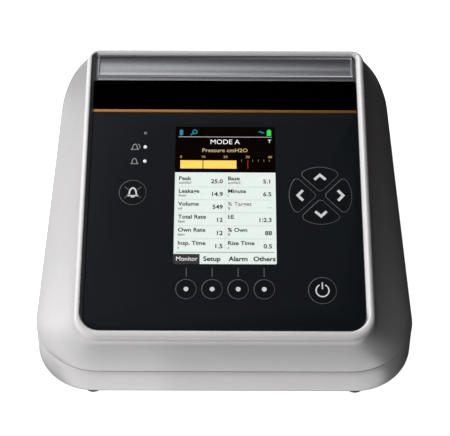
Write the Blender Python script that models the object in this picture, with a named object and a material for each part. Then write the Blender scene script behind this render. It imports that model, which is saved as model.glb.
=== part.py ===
"""Desktop mechanical ventilator with a sloping control panel, a carrying handle and a hose port at the rear.

Metres, +Z up. X runs across the machine, the front faces -Y, and the feet stand on Z = 0. The origin is the
middle of the whole footprint, hose port included. Lengths below are written in millimetres times MM.
"""

import math

import bmesh
import bpy
from mathutils import Matrix, Vector

MM = 0.001

# Driving dimensions of the case
CASE_WIDTH = 186 * MM
CASE_DEPTH = 205 * MM
PORT_REACH = 17 * MM
BASE_Z = 4.2 * MM
PARTING_Z = 22.6 * MM
FRONT_RADIUS = 33 * MM
REAR_RADIUS = 25 * MM
WALL = 2.4 * MM
GAP = 0.3 * MM
BOTTOM_ROUND = 4.5 * MM
FLOOR = 2.2 * MM
REAR_WALL_TOP = 45.2 * MM
SIDE_BULGE = 2.2 * MM
CORNER_SQUARING = 3.5 * MM

# The sloping recess that takes the panel, the header and the handle grip
PANEL_TILT = math.radians(19.3)
PANEL_FRONT = 4.31 * MM
PANEL_Z = 49.3 * MM
RECESS_HALF = 65.5 * MM
RECESS_LENGTH = 145.8 * MM
RECESS_RADIUS = 8 * MM
RECESS_REAR_RADIUS = 1.0 * MM
PANEL_THICK = 2.0 * MM
PANEL_LENGTH = 114.4 * MM
STRIP_LENGTH = 1.6 * MM
HEADER_END = 132.6 * MM

# Display and keys, in the panel's own plane: across, then up the slope
SCREEN_CENTRE = (0.6 * MM, 69.2 * MM)
SCREEN_SIZE = (49.4 * MM, 73.4 * MM)
PAD_CENTRE = (46.5 * MM, 69.1 * MM)
PAD_RADIUS = 15.6 * MM
MUTE_KEY = (-44.9 * MM, 70.3 * MM)
POWER_KEY = (46.1 * MM, 19.9 * MM)
ROUND_KEY_RADIUS = 6.9 * MM
MENU_KEY_RADIUS = 5.2 * MM
MENU_KEY_ROW = 20.4 * MM
MENU_KEY_PITCH = 12.3 * MM
LAMP_X = -39.5 * MM
LAMP_ROWS = (102.8 * MM, 95.2 * MM, 87.4 * MM)
KEY_TRAVEL = 0.6 * MM

Y_FRONT = -(CASE_DEPTH + PORT_REACH) / 2
Y_REAR = Y_FRONT + CASE_DEPTH
CORNER_STEPS = 7
SIDE_POINTS = 5
ROUND = 24


# ------------------------------------------------------------------ scene helpers
def clear_scene():
    for obj in list(bpy.data.objects):
        bpy.data.objects.remove(obj, do_unlink=True)


def make_material(name, colour, roughness, metallic=0.0):
    made = bpy.data.materials.new(name)
    made.use_nodes = True
    shader = made.node_tree.nodes["Principled BSDF"]
    shader.inputs["Base Color"].default_value = (*colour, 1.0)
    shader.inputs["Roughness"].default_value = roughness
    shader.inputs["Metallic"].default_value = metallic
    made.diffuse_color = (*colour, 1.0)
    return made


def add_object(name, bm, material=None, frame=None, location=(0, 0, 0), rotation=(0, 0, 0)):
    """Closes the bmesh into a named object, in the frame of an empty when one is given."""
    bmesh.ops.recalc_face_normals(bm, faces=bm.faces)
    mesh = bpy.data.meshes.new(name)
    bm.to_mesh(mesh)
    bm.free()
    mesh.shade_smooth()
    mesh.set_sharp_from_angle(angle=math.radians(32))
    if material:
        mesh.materials.append(material)
    obj = bpy.data.objects.new(name, mesh)
    bpy.context.scene.collection.objects.link(obj)
    obj.parent = frame
    obj.location = location
    obj.rotation_euler = rotation
    return obj


def add_frame(name, location, rotation):
    empty = bpy.data.objects.new(name, None)
    bpy.context.scene.collection.objects.link(empty)
    empty.location = location
    empty.rotation_euler = rotation
    return empty


def combine(target, tools, operation):
    """One exact Boolean of target with a hidden collection of tools."""
    group = bpy.data.collections.new(f"{target.name}_{operation.lower()}")
    bpy.context.scene.collection.children.link(group)
    for tool in tools:
        bpy.context.scene.collection.objects.unlink(tool)
        group.objects.link(tool)
        tool.hide_render = True
        tool.display_type = "WIRE"
    modifier = target.modifiers.new(operation.lower(), "BOOLEAN")
    modifier.operand_type = "COLLECTION"
    modifier.collection = group
    modifier.operation = operation
    modifier.solver = "EXACT"
    return target


# ------------------------------------------------------------------ outlines and solids
def rounded_outline(half_width, front, rear, front_radius, rear_radius, steps=CORNER_STEPS, side_points=0):
    """Anticlockwise loop of (x, y, outward angle) round a rectangle with arcs at its corners."""
    corners = (
        (half_width - front_radius, front + front_radius, front_radius, -90),
        (half_width - rear_radius, rear - rear_radius, rear_radius, 0),
        (rear_radius - half_width, rear - rear_radius, rear_radius, 90),
        (front_radius - half_width, front + front_radius, front_radius, 180),
    )
    loop = []
    for number, (x, y, radius, start) in enumerate(corners):
        for step in range(steps + 1):
            angle = math.radians(start + 90 * step / steps)
            loop.append((x + radius * math.cos(angle), y + radius * math.sin(angle), angle))
        if number in (0, 2):
            side, _, angle = loop[-1]
            ends = (front + front_radius, rear - rear_radius)
            low, high = ends if number == 0 else reversed(ends)
            for point in range(1, side_points + 1):
                loop.append((side, low + (high - low) * point / (side_points + 1), angle))
    return loop


def case_outline(half_width, front, rear, front_radius, rear_radius):
    return rounded_outline(half_width, front, rear, front_radius, rear_radius, CORNER_STEPS, SIDE_POINTS)


def rounded_box_outline(centre, size, radius, steps=4):
    (x, y), (width, length) = centre, size
    loop = rounded_outline(width / 2, -length / 2, length / 2, radius, radius, steps)
    return [(x + px, y + py) for px, py, _ in loop]


def circle_outline(centre, radius, sides=ROUND):
    angles = [2 * math.pi * i / sides for i in range(sides)]
    return [(centre[0] + radius * math.cos(a), centre[1] + radius * math.sin(a)) for a in angles]


def rounded_corner(before, corner, after, radius, steps=3):
    """Points of the arc that rounds the corner between two neighbouring points."""
    corner = Vector(corner)
    to_before = (Vector(before) - corner).normalized()
    to_after = (Vector(after) - corner).normalized()
    half = to_before.angle(to_after) / 2
    centre = corner + (to_before + to_after).normalized() * (radius / math.sin(half))
    start = corner + to_before * (radius / math.tan(half)) - centre
    end = corner + to_after * (radius / math.tan(half)) - centre
    sweep = start.angle_signed(end)
    points = []
    for step in range(steps + 1):
        turn = Matrix.Rotation(-sweep * step / steps, 2)
        points.append(tuple(centre + turn @ start))
    return points


def pad_key_outline(turn, grow=0.0):
    """A quarter of the round pad between its diagonals, with rounded corners. turn is in quarter turns."""
    radius, corner_radius = PAD_RADIUS + grow, 2.3 * MM + grow
    offset = (0.85 * MM - grow) * math.sqrt(2)
    reach = (math.sqrt(2 * radius**2 - offset**2) - offset) / 2
    right, tip, left = (reach, reach + offset), (0.0, offset), (-reach, reach + offset)
    edge = math.atan2(right[1], right[0])
    trim = corner_radius * 1.15 / radius
    arc = []
    for step in range(6):
        angle = edge + trim + (math.pi - 2 * edge - 2 * trim) * step / 5
        arc.append((radius * math.cos(angle), radius * math.sin(angle)))
    points = rounded_corner(left, tip, right, corner_radius)
    points += rounded_corner(tip, right, arc[0], corner_radius)
    points += arc[1:-1]
    points += rounded_corner(arc[-1], left, tip, corner_radius)
    spin = Matrix.Rotation(turn * math.pi / 2, 2)
    turned = [spin @ Vector(p) for p in points]
    return [(PAD_CENTRE[0] + p.x, PAD_CENTRE[1] + p.y) for p in turned]


def scaled_outline(outline, factor):
    x = sum(p[0] for p in outline) / len(outline)
    y = sum(p[1] for p in outline) / len(outline)
    return [(x + (p[0] - x) * factor, y + (p[1] - y) * factor) for p in outline]


def loft(loops, ring=False):
    """A bmesh through loops of points with equal counts: capped at both ends, or closed as a ring."""
    bm = bmesh.new()
    rows = [[bm.verts.new(point) for point in loop] for loop in loops]
    pairs = list(zip(rows, rows[1:]))
    if ring:
        pairs.append((rows[-1], rows[0]))
    for low, high in pairs:
        for i in range(len(low)):
            j = (i + 1) % len(low)
            bm.faces.new((low[i], low[j], high[j], high[i]))
    if not ring:
        bm.faces.new(list(reversed(rows[0])))
        bm.faces.new(rows[-1])
    return bm


def stack(levels):
    """A loft through (outline, height) levels."""
    return loft([[(p[0], p[1], height) for p in outline] for outline, height in levels])


def box(low, high):
    bm = bmesh.new()
    bmesh.ops.create_cube(bm, size=1.0)
    size = Vector(high) - Vector(low)
    middle = (Vector(high) + Vector(low)) / 2
    bmesh.ops.transform(bm, matrix=Matrix.Translation(middle) @ Matrix.Diagonal((*size, 1.0)), verts=bm.verts)
    return bm


def turned(profile, sides=ROUND, closed=False):
    """A solid of revolution about Z from (radius, height) points: axis to axis, or a closed ring profile."""
    bm = bmesh.new()
    verts = [bm.verts.new((radius, 0, height)) for radius, height in profile]
    edges = [bm.edges.new(pair) for pair in zip(verts, verts[1:])]
    if closed:
        edges.append(bm.edges.new((verts[-1], verts[0])))
    bmesh.ops.spin(
        bm, geom=verts + edges, cent=(
            0, 0, 0
        ), axis=(0, 0, 1), angle=2 * math.pi, steps=sides, use_duplicate=False
    )
    bmesh.ops.remove_doubles(bm, verts=bm.verts, dist=1e-6)
    return bm


def cylinder(radius, low, high, sides=ROUND):
    return turned([(0, low), (radius, low), (radius, high), (0, high)], sides)


def pipe(path, outer, inner, sides=16):
    """A hollow pipe along a list of points, open at both ends."""
    points = [Vector(p) for p in path]
    loops = []
    for radius, order in ((outer, points), (inner, list(reversed(points)))):
        for point in order:
            i = points.index(point)
            along = (points[min(i + 1, len(points) - 1)] - points[max(i - 1, 0)]).normalized()
            across = along.cross(Vector((0, 0, 1))).normalized()
            up = across.cross(along)
            ring = []
            for side in range(sides):
                angle = 2 * math.pi * side / sides
                ring.append(point + radius * (math.cos(angle) * across + math.sin(angle) * up))
            loops.append(ring)
    return loft(loops, ring=True)


# ------------------------------------------------------------------ frames and case surfaces
def on_panel(x, up, out):
    """A point given across the panel, up its slope and out of its face."""
    y = Y_FRONT + PANEL_FRONT + up * math.cos(PANEL_TILT) - out * math.sin(PANEL_TILT)
    z = PANEL_Z + up * math.sin(PANEL_TILT) + out * math.cos(PANEL_TILT)
    return Vector((x, y, z))


LIP_REACH = 4.9 * MM
LIP_DROP = -2.6 * MM
REAR_TOP = on_panel(0, RECESS_LENGTH + LIP_REACH, LIP_DROP)
REAR_BOTTOM = Vector((0, Y_REAR, REAR_WALL_TOP))
REAR_ANGLE = math.atan2(REAR_TOP.z - REAR_BOTTOM.z, REAR_BOTTOM.y - REAR_TOP.y)
REAR_LENGTH = (REAR_BOTTOM - REAR_TOP).length


def lip_loop(reach, out):
    """A loop round the recess, at a distance outside its edge and a height over the panel's face."""
    loop = case_outline(
        RECESS_HALF + reach, -reach, RECESS_LENGTH + reach, RECESS_RADIUS + reach, max(
            RECESS_REAR_RADIUS + reach, 0.5 * MM
        )
    )
    return [on_panel(x, y, out) for x, y, _ in loop]


def base_loop(inset, z, tighten=0.0):
    """A loop inside the case's widest outline. tighten squares its front corners a little."""
    front_radius = FRONT_RADIUS - inset - tighten
    loop = case_outline(
        CASE_WIDTH / 2 - inset, Y_FRONT + inset, Y_REAR - inset, front_radius, REAR_RADIUS - inset
    )
    return [Vector((x, y, z)) for x, y, _ in loop]


def wall_loop(share, rear, thick):
    """A loop on the side walls, a share of the way from the parting line to the lip, through a rear point."""
    angles = [a for _, _, a in case_outline(CASE_WIDTH / 2, 0, CASE_DEPTH, FRONT_RADIUS, REAR_RADIUS)]
    low = base_loop(thick, PARTING_Z)
    high = lip_loop(LIP_REACH - 1.3 * thick, LIP_DROP - thick)
    bulge = SIDE_BULGE * 4 * share * (1 - share)
    loop = []
    for start, end, angle in zip(low, high, angles):
        point = start.lerp(end, share) + Vector((bulge * math.cos(angle), 0, 0))
        back = Vector((point.x, rear[0], rear[1]))
        loop.append(point.lerp(back, max(0.0, math.sin(angle)) ** 1.5))
    return loop


def rear_point(along, thick=0.0):
    """(y, z) on the rear facet, a length down from its top edge and thick inside its face."""
    return (
        REAR_TOP.y + along * math.cos(REAR_ANGLE) - thick * math.sin(REAR_ANGLE),
        REAR_TOP.z - along * math.sin(REAR_ANGLE) - thick * math.cos(REAR_ANGLE),
    )


# ------------------------------------------------------------------ openings shared by neighbouring parts
REAR_PANEL_HALF = 62 * MM
REAR_PANEL_Z = (11.5 * MM, 43.8 * MM)
POCKET_HALF = 50 * MM
POCKET_RANGE = (12 * MM, 38 * MM)
POCKET_DEPTH = 19 * MM
FILTER_X = (-60 * MM, -6 * MM)
FILTER_RANGE = (44 * MM, 71 * MM)
LOUVRE_CENTRE = (38 * MM, 57 * MM)
PORT_CENTRE = (-46 * MM, 25 * MM)
MAINS_CENTRE = (-13 * MM, 27 * MM)
BATTERY_X = (7 * MM, 60 * MM)
BATTERY_Z = (13 * MM, 33 * MM)
BATTERY_LENGTH = 98 * MM
POSTS = ((74 * MM, 45 * MM, 49 * MM), (74 * MM, 130 * MM, 70 * MM))
BLOWER = (-36 * MM, 88 * MM)
FEET_X = 64.5 * MM
FEET_DEPTHS = (8.3 * MM, 190 * MM)


def post_places():
    for x, depth, top in POSTS:
        for side in (-1, 1):
            yield side * x, Y_FRONT + depth, top


def make_upper_case(material, panel_frame, rear_frame):
    """The white shell: side walls from the parting line to the lip, and a ledge for the panel."""
    loops = [
        base_loop(0.0, PARTING_Z + GAP / 2),
        wall_loop(0.30, (Y_REAR, REAR_WALL_TOP), 0.0),
        wall_loop(0.62, rear_point(REAR_LENGTH * 0.45), 0.0),
        lip_loop(LIP_REACH, LIP_DROP),
        lip_loop(4.7 * MM, -0.4 * MM),
        lip_loop(4.1 * MM, 0.8 * MM),
        lip_loop(3.1 * MM, 1.3 * MM),
        lip_loop(1.5 * MM, 1.3 * MM),
        lip_loop(0.9 * MM, 1.0 * MM),
        lip_loop(0.0, -0.1 * MM),
        lip_loop(0.0, -PANEL_THICK - GAP),
        lip_loop(-2.6 * MM, -PANEL_THICK - GAP),
        lip_loop(-2.6 * MM, -4.3 * MM),
        lip_loop(1.0 * MM, -5.4 * MM),
        wall_loop(0.62, rear_point(REAR_LENGTH * 0.45, WALL), WALL),
        wall_loop(0.30, (Y_REAR - WALL, REAR_WALL_TOP - 0.4 * WALL), WALL),
        base_loop(WALL, PARTING_Z + GAP / 2),
    ]
    case = add_object("upper_case", loft(loops, ring=True), material)
    posts = []
    for x, y, top in post_places():
        posts.append(
            add_object("post", cylinder(3.4 * MM, BASE_Z + FLOOR + GAP, top, 16), None, None, (x, y, 0))
        )
    combine(case, posts, "UNION")
    cutters = [
        add_object(
            "rear_cut",
            box((-REAR_PANEL_HALF, Y_REAR - 6 * MM, 0), (REAR_PANEL_HALF, Y_REAR + 4 * MM, REAR_PANEL_Z[1])),
        )
    ]
    pocket = rounded_box_outline(
        (0, sum(POCKET_RANGE) / 2), (2 * POCKET_HALF, POCKET_RANGE[1] - POCKET_RANGE[0]), 8 * MM
    )
    cutters.append(add_object("pocket_cut", stack([(pocket, -9 * MM), (pocket, 4 * MM)]), None, rear_frame))
    low = (FILTER_X[0], FILTER_RANGE[0], -7 * MM)
    high = (FILTER_X[1], FILTER_RANGE[1], 4 * MM)
    cutters.append(add_object("filter_cut", box(low, high), None, rear_frame))
    for slot in range(5):
        along = LOUVRE_CENTRE[1] + (slot - 2) * 5 * MM
        outline = rounded_box_outline((LOUVRE_CENTRE[0], along), (32 * MM, 2.2 * MM), 1.0 * MM, 2)
        cutters.append(
            add_object("louvre_cut", stack([(outline, -7 * MM), (outline, 4 * MM)]), None, rear_frame)
        )
    for x, y, _ in post_places():
        cutters.append(add_object("pilot_cut", cylinder(1.25 * MM, 0, 18 * MM, 12), None, None, (x, y, 0)))
    return combine(case, cutters, "DIFFERENCE")


def make_lower_case(material):
    """The tray: outer wall, rounded bottom edge and floor, then the same again one wall inside."""
    wall_low = BASE_Z + BOTTOM_ROUND
    inner_round = BOTTOM_ROUND - FLOOR
    loops = [base_loop(0.0, PARTING_Z - GAP / 2)]
    for angle in (0, 30, 60, 90):
        turn = math.radians(angle)
        inset = BOTTOM_ROUND * (1 - math.cos(turn))
        loops.append(base_loop(inset, wall_low - BOTTOM_ROUND * math.sin(turn), CORNER_SQUARING))
    for angle in (90, 60, 30, 0):
        turn = math.radians(angle)
        inset = FLOOR + inner_round * (1 - math.cos(turn))
        loops.append(base_loop(inset, wall_low - inner_round * math.sin(turn), CORNER_SQUARING))
    loops.append(base_loop(WALL, PARTING_Z - GAP / 2))
    outer, inner = loops[:5], loops[5:]
    bm = loft(outer + inner)
    # The loft's end caps close the rim wrongly for a tray, so they become the rim and the two floors.
    bm.faces.ensure_lookup_table()
    bmesh.ops.delete(bm, geom=[f for f in bm.faces if len(f.verts) > 4], context="FACES_ONLY")
    bm.verts.ensure_lookup_table()
    count = len(loops[0])
    seam = [f for f in bm.faces if {v.index // count for v in f.verts} == {4, 5}]
    bmesh.ops.delete(bm, geom=seam, context="FACES_ONLY")
    bm.verts.ensure_lookup_table()
    rows = [bm.verts[i * count : (i + 1) * count] for i in range(len(loops))]
    bm.faces.new(rows[4])
    bm.faces.new(rows[5])
    for i in range(count):
        j = (i + 1) % count
        bm.faces.new((rows[-1][i], rows[-1][j], rows[0][j], rows[0][i]))
    case = add_object("lower_case", bm, material)
    low_cut = (-REAR_PANEL_HALF, Y_REAR - 6 * MM, REAR_PANEL_Z[0])
    cutters = [
        add_object("rear_cut_low", box(low_cut, (REAR_PANEL_HALF, Y_REAR + 4 * MM, PARTING_Z + 2 * MM)))
    ]
    for x, y, _ in post_places():
        profile = [
            (0, 0), (3.2 * MM, 0), (3.2 * MM, BASE_Z + 1.1 * MM), (1.7 * MM, BASE_Z + 1.1 * MM),
            (1.7 * MM, 8 * MM), (0, 8 * MM),
        ]
        cutters.append(add_object("screw_cut", turned(profile, 16), None, None, (x, y, 0)))
    for slot in range(6):
        x = -66 * MM + slot * 9 * MM
        cutters.append(
            add_object("vent_cut", box((x, Y_FRONT + 60 * MM, 0), (x + 3 * MM, Y_FRONT + 96 * MM, 8 * MM)))
        )
    return combine(case, cutters, "DIFFERENCE")


# ------------------------------------------------------------------ control panel
def key_outlines():
    """Name and outline of each key, with a function that grows the outline."""
    keys = {
        "mute_key": lambda grow=0.0: circle_outline(MUTE_KEY, ROUND_KEY_RADIUS + grow),
        "power_key": lambda grow=0.0: circle_outline(POWER_KEY, ROUND_KEY_RADIUS + grow),
    }
    for number in range(4):
        centre = ((number - 1.5) * MENU_KEY_PITCH + 0.2 * MM, MENU_KEY_ROW)
        keys[f"menu_key_{number + 1}"] = lambda grow=0.0, c=centre: circle_outline(
            c, MENU_KEY_RADIUS + grow, 20
        )
    for turn, name in enumerate(("up_key", "left_key", "down_key", "right_key")):
        keys[name] = lambda grow=0.0, t=turn: pad_key_outline(t, grow)
    return keys


def make_front_panel(material, frame):
    edge = GAP / 2
    outline = rounded_outline(RECESS_HALF - edge, edge, PANEL_LENGTH, RECESS_RADIUS - edge, 0.3 * MM, 5)
    outline = [(x, y) for x, y, _ in outline]
    panel = add_object("front_panel", stack([(outline, -PANEL_THICK), (outline, 0)]), material, frame)
    cutters = []
    window = rounded_box_outline(SCREEN_CENTRE, SCREEN_SIZE, 0.8 * MM, 2)
    shapes = [window] + [shape(0.2 * MM) for shape in key_outlines().values()]
    shapes += [circle_outline((LAMP_X, row), 1.1 * MM, 12) for row in LAMP_ROWS]
    for shape in shapes:
        cutters.append(add_object("panel_cut", stack([(shape, -4 * MM), (shape, 2 * MM)]), None, frame))
    return combine(panel, cutters, "DIFFERENCE")


def make_header_and_strip(black, gold, frame):
    half = RECESS_HALF - GAP / 2
    strip_start = PANEL_LENGTH + 0.2 * MM
    strip_end = strip_start + STRIP_LENGTH
    add_object(
        "accent_strip", box((-half, strip_start, -PANEL_THICK), (half, strip_end, 0.15 * MM)), gold, frame
    )
    header = box((-half, strip_end + 0.2 * MM, -PANEL_THICK), (half, HEADER_END, 0.0))
    add_object("header_trim", header, black, frame)


def make_handle_grip(material, frame):
    """The silver bar between the cheeks: a raised border round a hollow that the thumb lies in."""
    start, end = HEADER_END + 0.3 * MM, RECESS_LENGTH - GAP
    half = RECESS_HALF - 0.5 * MM
    border, depth, steps = 1.1 * MM, 3.6 * MM, 8
    low, high = start + 1.5 * MM, end - 0.7 * MM
    centre, reach = (low + high) / 2, (high - low) / 2
    profile = [(start, -9 * MM), (start, 0.1 * MM)]
    hollow = []
    for step in range(steps + 1):
        angle = math.pi * step / steps
        hollow.append((centre - reach * math.cos(angle), 0.4 * MM - depth * math.sin(angle)))
    profile += [(low - 0.9 * MM, 0.4 * MM), (high + 0.4 * MM, 0.4 * MM), (end, 0.1 * MM), (end, -9 * MM)]
    bar = loft([[(x, y, z) for y, z in profile] for x in (-half, half)])
    grip = add_object("handle_grip", bar, material, frame)
    hollow = [(low, 3 * MM)] + hollow + [(high, 3 * MM)]
    cutter = loft([[(x, y, z) for y, z in hollow] for x in (border - half, half - border)])
    combine(grip, [add_object("grip_cut", cutter, None, frame)], "DIFFERENCE")
    # Screw lugs under the bar stay inside the ledge of the case.
    inner = RECESS_HALF - 3.2 * MM
    lower = box((-inner, start + 0.6 * MM, -9 * MM), (inner, end - 3.2 * MM, -MM))
    trim = box((-half - MM, start - MM, -10 * MM), (half + MM, end + MM, -PANEL_THICK))
    side_cut = add_object("grip_side_cut", trim, None, frame)
    combine(side_cut, [add_object("grip_keep", lower, None, frame)], "DIFFERENCE")
    return combine(grip, [side_cut], "DIFFERENCE")


def make_keys(material, frame):
    """Each key: a stem over its switch, a flange that stops under the panel, and a cap flush with it."""
    for name, shape in key_outlines().items():
        top = 0.12 * MM
        levels = [
            (scaled_outline(shape(), 0.34), -6.2 * MM),
            (scaled_outline(shape(), 0.34), -3.1 * MM),
            (shape(0.55 * MM), -3.1 * MM),
            (shape(0.55 * MM), -PANEL_THICK - GAP),
            (shape(), -PANEL_THICK - GAP),
            (shape(), top - 0.15 * MM),
            (scaled_outline(shape(), 0.97), top),
        ]
        add_object(name, stack(levels), material, frame)


def make_display(glass, metal, frame):
    clear = 0.2 * MM
    size = (SCREEN_SIZE[0] - 2 * clear, SCREEN_SIZE[1] - 2 * clear)
    window = rounded_box_outline(SCREEN_CENTRE, size, 0.7 * MM, 2)
    add_object("display_window", stack([(window, -1.5 * MM), (window, -0.15 * MM)]), glass, frame)
    x, y = SCREEN_CENTRE
    low, high = (x - 27.5 * MM, y - 42 * MM, -6.0 * MM), (x + 27.5 * MM, y + 43 * MM, -PANEL_THICK - GAP)
    module = add_object("lcd_module", box(low, high), metal, frame)
    tail = box((x - 8 * MM, y + 42 * MM, -5.6 * MM), (x + 8 * MM, y + 47 * MM, -5.0 * MM))
    combine(module, [add_object("lcd_tail", tail, None, frame)], "UNION")


def make_lamps(material, frame):
    for row, name in zip(LAMP_ROWS, ("power_lamp", "low_alarm_lamp", "high_alarm_lamp")):
        profile = [(0, -6.2 * MM), (1.5 * MM, -6.2 * MM), (1.5 * MM, -PANEL_THICK - GAP)]
        profile += [
            (0.85 * MM, -PANEL_THICK - GAP), (0.85 * MM, -0.05 * MM), (0.6 * MM, 0.1 * MM), (0, 0.1 * MM)
        ]
        add_object(name, turned(profile, 12), material, frame, (LAMP_X, row, 0))


def make_keypad_board(material, frame):
    """The switch board: a plate with one switch dome under each key."""
    half = 60 * MM
    board = add_object(
        "keypad_board", box((-half, 4 * MM, -9.2 * MM), (half, 113 * MM, -7.6 * MM)), material, frame
    )
    domes = []
    for shape in key_outlines().values():
        outline = shape()
        x, y = (sum(p[k] for p in outline) / len(outline) for k in (0, 1))
        dome = cylinder(2.2 * MM, -8 * MM, -7.0 * MM, 8)
        domes.append(add_object("switch", dome, None, frame, (x, y, 0)))
    return combine(board, domes, "UNION")


# ------------------------------------------------------------------ rear face
def make_handle_pocket(material, frame):
    """The closed pan that the fingers reach into under the handle."""
    wall, clear = 1.8 * MM, GAP
    centre = (0, sum(POCKET_RANGE) / 2)
    width, height = 2 * POCKET_HALF, POCKET_RANGE[1] - POCKET_RANGE[0]
    outer = rounded_box_outline(centre, (width - 2 * clear, height - 2 * clear), 7.7 * MM)
    inner = rounded_box_outline(centre, (width - 2 * clear - 2 * wall, height - 2 * clear - 2 * wall), 6 * MM)
    deep = rounded_box_outline(centre, (width - 10 * MM, height - 8 * MM), 5 * MM)
    pan = add_object("handle_pocket", stack([(outer, -POCKET_DEPTH), (outer, -0.3 * MM)]), material, frame)
    cut = stack([(deep, wall - POCKET_DEPTH), (inner, wall + 3 * MM - POCKET_DEPTH), (inner, 3 * MM)])
    return combine(pan, [add_object("pan_cut", cut, None, frame)], "DIFFERENCE")


HINGE_ALONG = FILTER_RANGE[1] - 2.4 * MM
HINGE_OUT = -1.7 * MM


def make_filter_cover(cover_material, foam, steel, frame):
    """A louvred door over the air filter, hinged on a pin along its lower edge."""
    x0, x1 = FILTER_X[0] + GAP, FILTER_X[1] - GAP
    start = FILTER_RANGE[0] + GAP
    plate = box((x0, start, -2.4 * MM), (x1, HINGE_ALONG, 0.2 * MM))
    cover = add_object("filter_cover", plate, cover_material, frame)
    middle = (x0 + x1) / 2
    barrel = cylinder(1.5 * MM, -(x1 - x0) / 2, (x1 - x0) / 2, 16)
    along_x = (0, math.radians(90), 0)
    hinge = (middle, HINGE_ALONG, HINGE_OUT)
    combine(cover, [add_object("barrel", barrel, None, frame, hinge, along_x)], "UNION")
    cutters = [
        add_object("barrel_bore", cylinder(0.9 * MM, -40 * MM, 40 * MM, 12), None, frame, hinge, along_x)
    ]
    for slot in range(4):
        along = start + 4.2 * MM + slot * 5 * MM
        outline = rounded_box_outline((middle, along), (42 * MM, 2.0 * MM), 0.9 * MM, 2)
        cutters.append(add_object("slot_cut", stack([(outline, -5 * MM), (outline, 2 * MM)]), None, frame))
    combine(cover, cutters, "DIFFERENCE")
    half_pin = (x1 - x0) / 2 - 0.5 * MM
    add_object("filter_hinge_pin", cylinder(0.6 * MM, -half_pin, half_pin, 12), steel, frame, hinge, along_x)
    filter_low = (x0 + 3 * MM, FILTER_RANGE[0] + 2 * MM, -8.4 * MM)
    pad = box(filter_low, (x1 - 3 * MM, HINGE_ALONG - 3.6 * MM, -2.8 * MM))
    add_object("air_filter", pad, foam, frame)
    tray_low, tray_high = (
        x0 - 3 * MM, FILTER_RANGE[0] - 2.4 * MM, -10.5 * MM
    ), (x1 + 3 * MM, FILTER_RANGE[1] + 1.5 * MM, -3.0 * MM)
    holder = add_object("filter_holder", box(tray_low, tray_high), cover_material, frame)
    room = box(
        (x0 + 2.6 * MM, FILTER_RANGE[0] + 1.6 * MM, -8.8 * MM), (x1 - 2.6 * MM, FILTER_RANGE[1] + MM, 2 * MM)
    )
    swing = box(
        (x0 - 0.1 * MM, FILTER_RANGE[0] - 0.1 * MM, -4.9 * MM),
        (x1 + 0.1 * MM, FILTER_RANGE[1] + 3 * MM, 2 * MM),
    )
    duct = cylinder(8 * MM, -14 * MM, -6 * MM, 20)
    tools = [add_object("filter_room", room, None, frame), add_object("cover_room", swing, None, frame)]
    tools.append(add_object("duct_room", duct, None, frame, (middle, sum(FILTER_RANGE) / 2 - MM, 0)))
    combine(holder, tools, "DIFFERENCE")


def make_cooling_fan(plastic, frame):
    """A 30 mm fan behind the louvres: a square frame with a cross, and a bladed rotor on its pin."""
    x, along = LOUVRE_CENTRE
    half, front, rear = 15 * MM, -3.6 * MM, -11.6 * MM
    body = add_object(
        "fan_frame", box((x - half, along - half, rear), (x + half, along + half, front)), plastic, frame
    )
    bore = cylinder(13.4 * MM, rear + 1.4 * MM, front + MM, ROUND)
    cuts = [add_object("fan_bore", bore, None, frame, (x, along, 0))]
    for quarter in range(4):
        angle = math.pi / 4 + quarter * math.pi / 2
        centre = (x + 7.6 * MM * math.cos(angle), along + 7.6 * MM * math.sin(angle), 0)
        cuts.append(
            add_object("fan_window", cylinder(4.4 * MM, rear - MM, rear + 3 * MM, 12), None, frame, centre)
        )
    combine(body, cuts, "DIFFERENCE")
    pin = cylinder(1.0 * MM, rear + 0.6 * MM, front - 2.6 * MM, 12)
    combine(body, [add_object("fan_pin", pin, None, frame, (x, along, 0))], "UNION")
    hub = [(0, front - 2.2 * MM), (1.3 * MM, front - 2.2 * MM), (1.3 * MM, rear + 1.9 * MM)]
    hub += [(6 * MM, rear + 1.9 * MM), (6 * MM, front - 0.4 * MM), (0, front - 0.4 * MM)]
    rotor = add_object("fan_rotor", turned(hub, 20), plastic, frame, (x, along, 0))
    blades = []
    for blade in range(7):
        shape = box((5.4 * MM, -0.5 * MM, rear + 2.4 * MM), (12.6 * MM, 0.5 * MM, front - 0.9 * MM))
        bmesh.ops.rotate(
            shape,
            cent=(9 * MM, 0, (rear + front) / 2),
            matrix=Matrix.Rotation(0.42, 3, "X"),
            verts=shape.verts,
        )
        bmesh.ops.scale(
            shape, vec=(1, 1, 0.86), space=Matrix.Translation((0, 0, -(rear + front) / 2)), verts=shape.verts
        )
        blades.append(
            add_object("fan_blade", shape, None, frame, (x, along, 0), (0, 0, 2 * math.pi * blade / 7))
        )
    combine(rotor, blades, "UNION")


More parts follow.
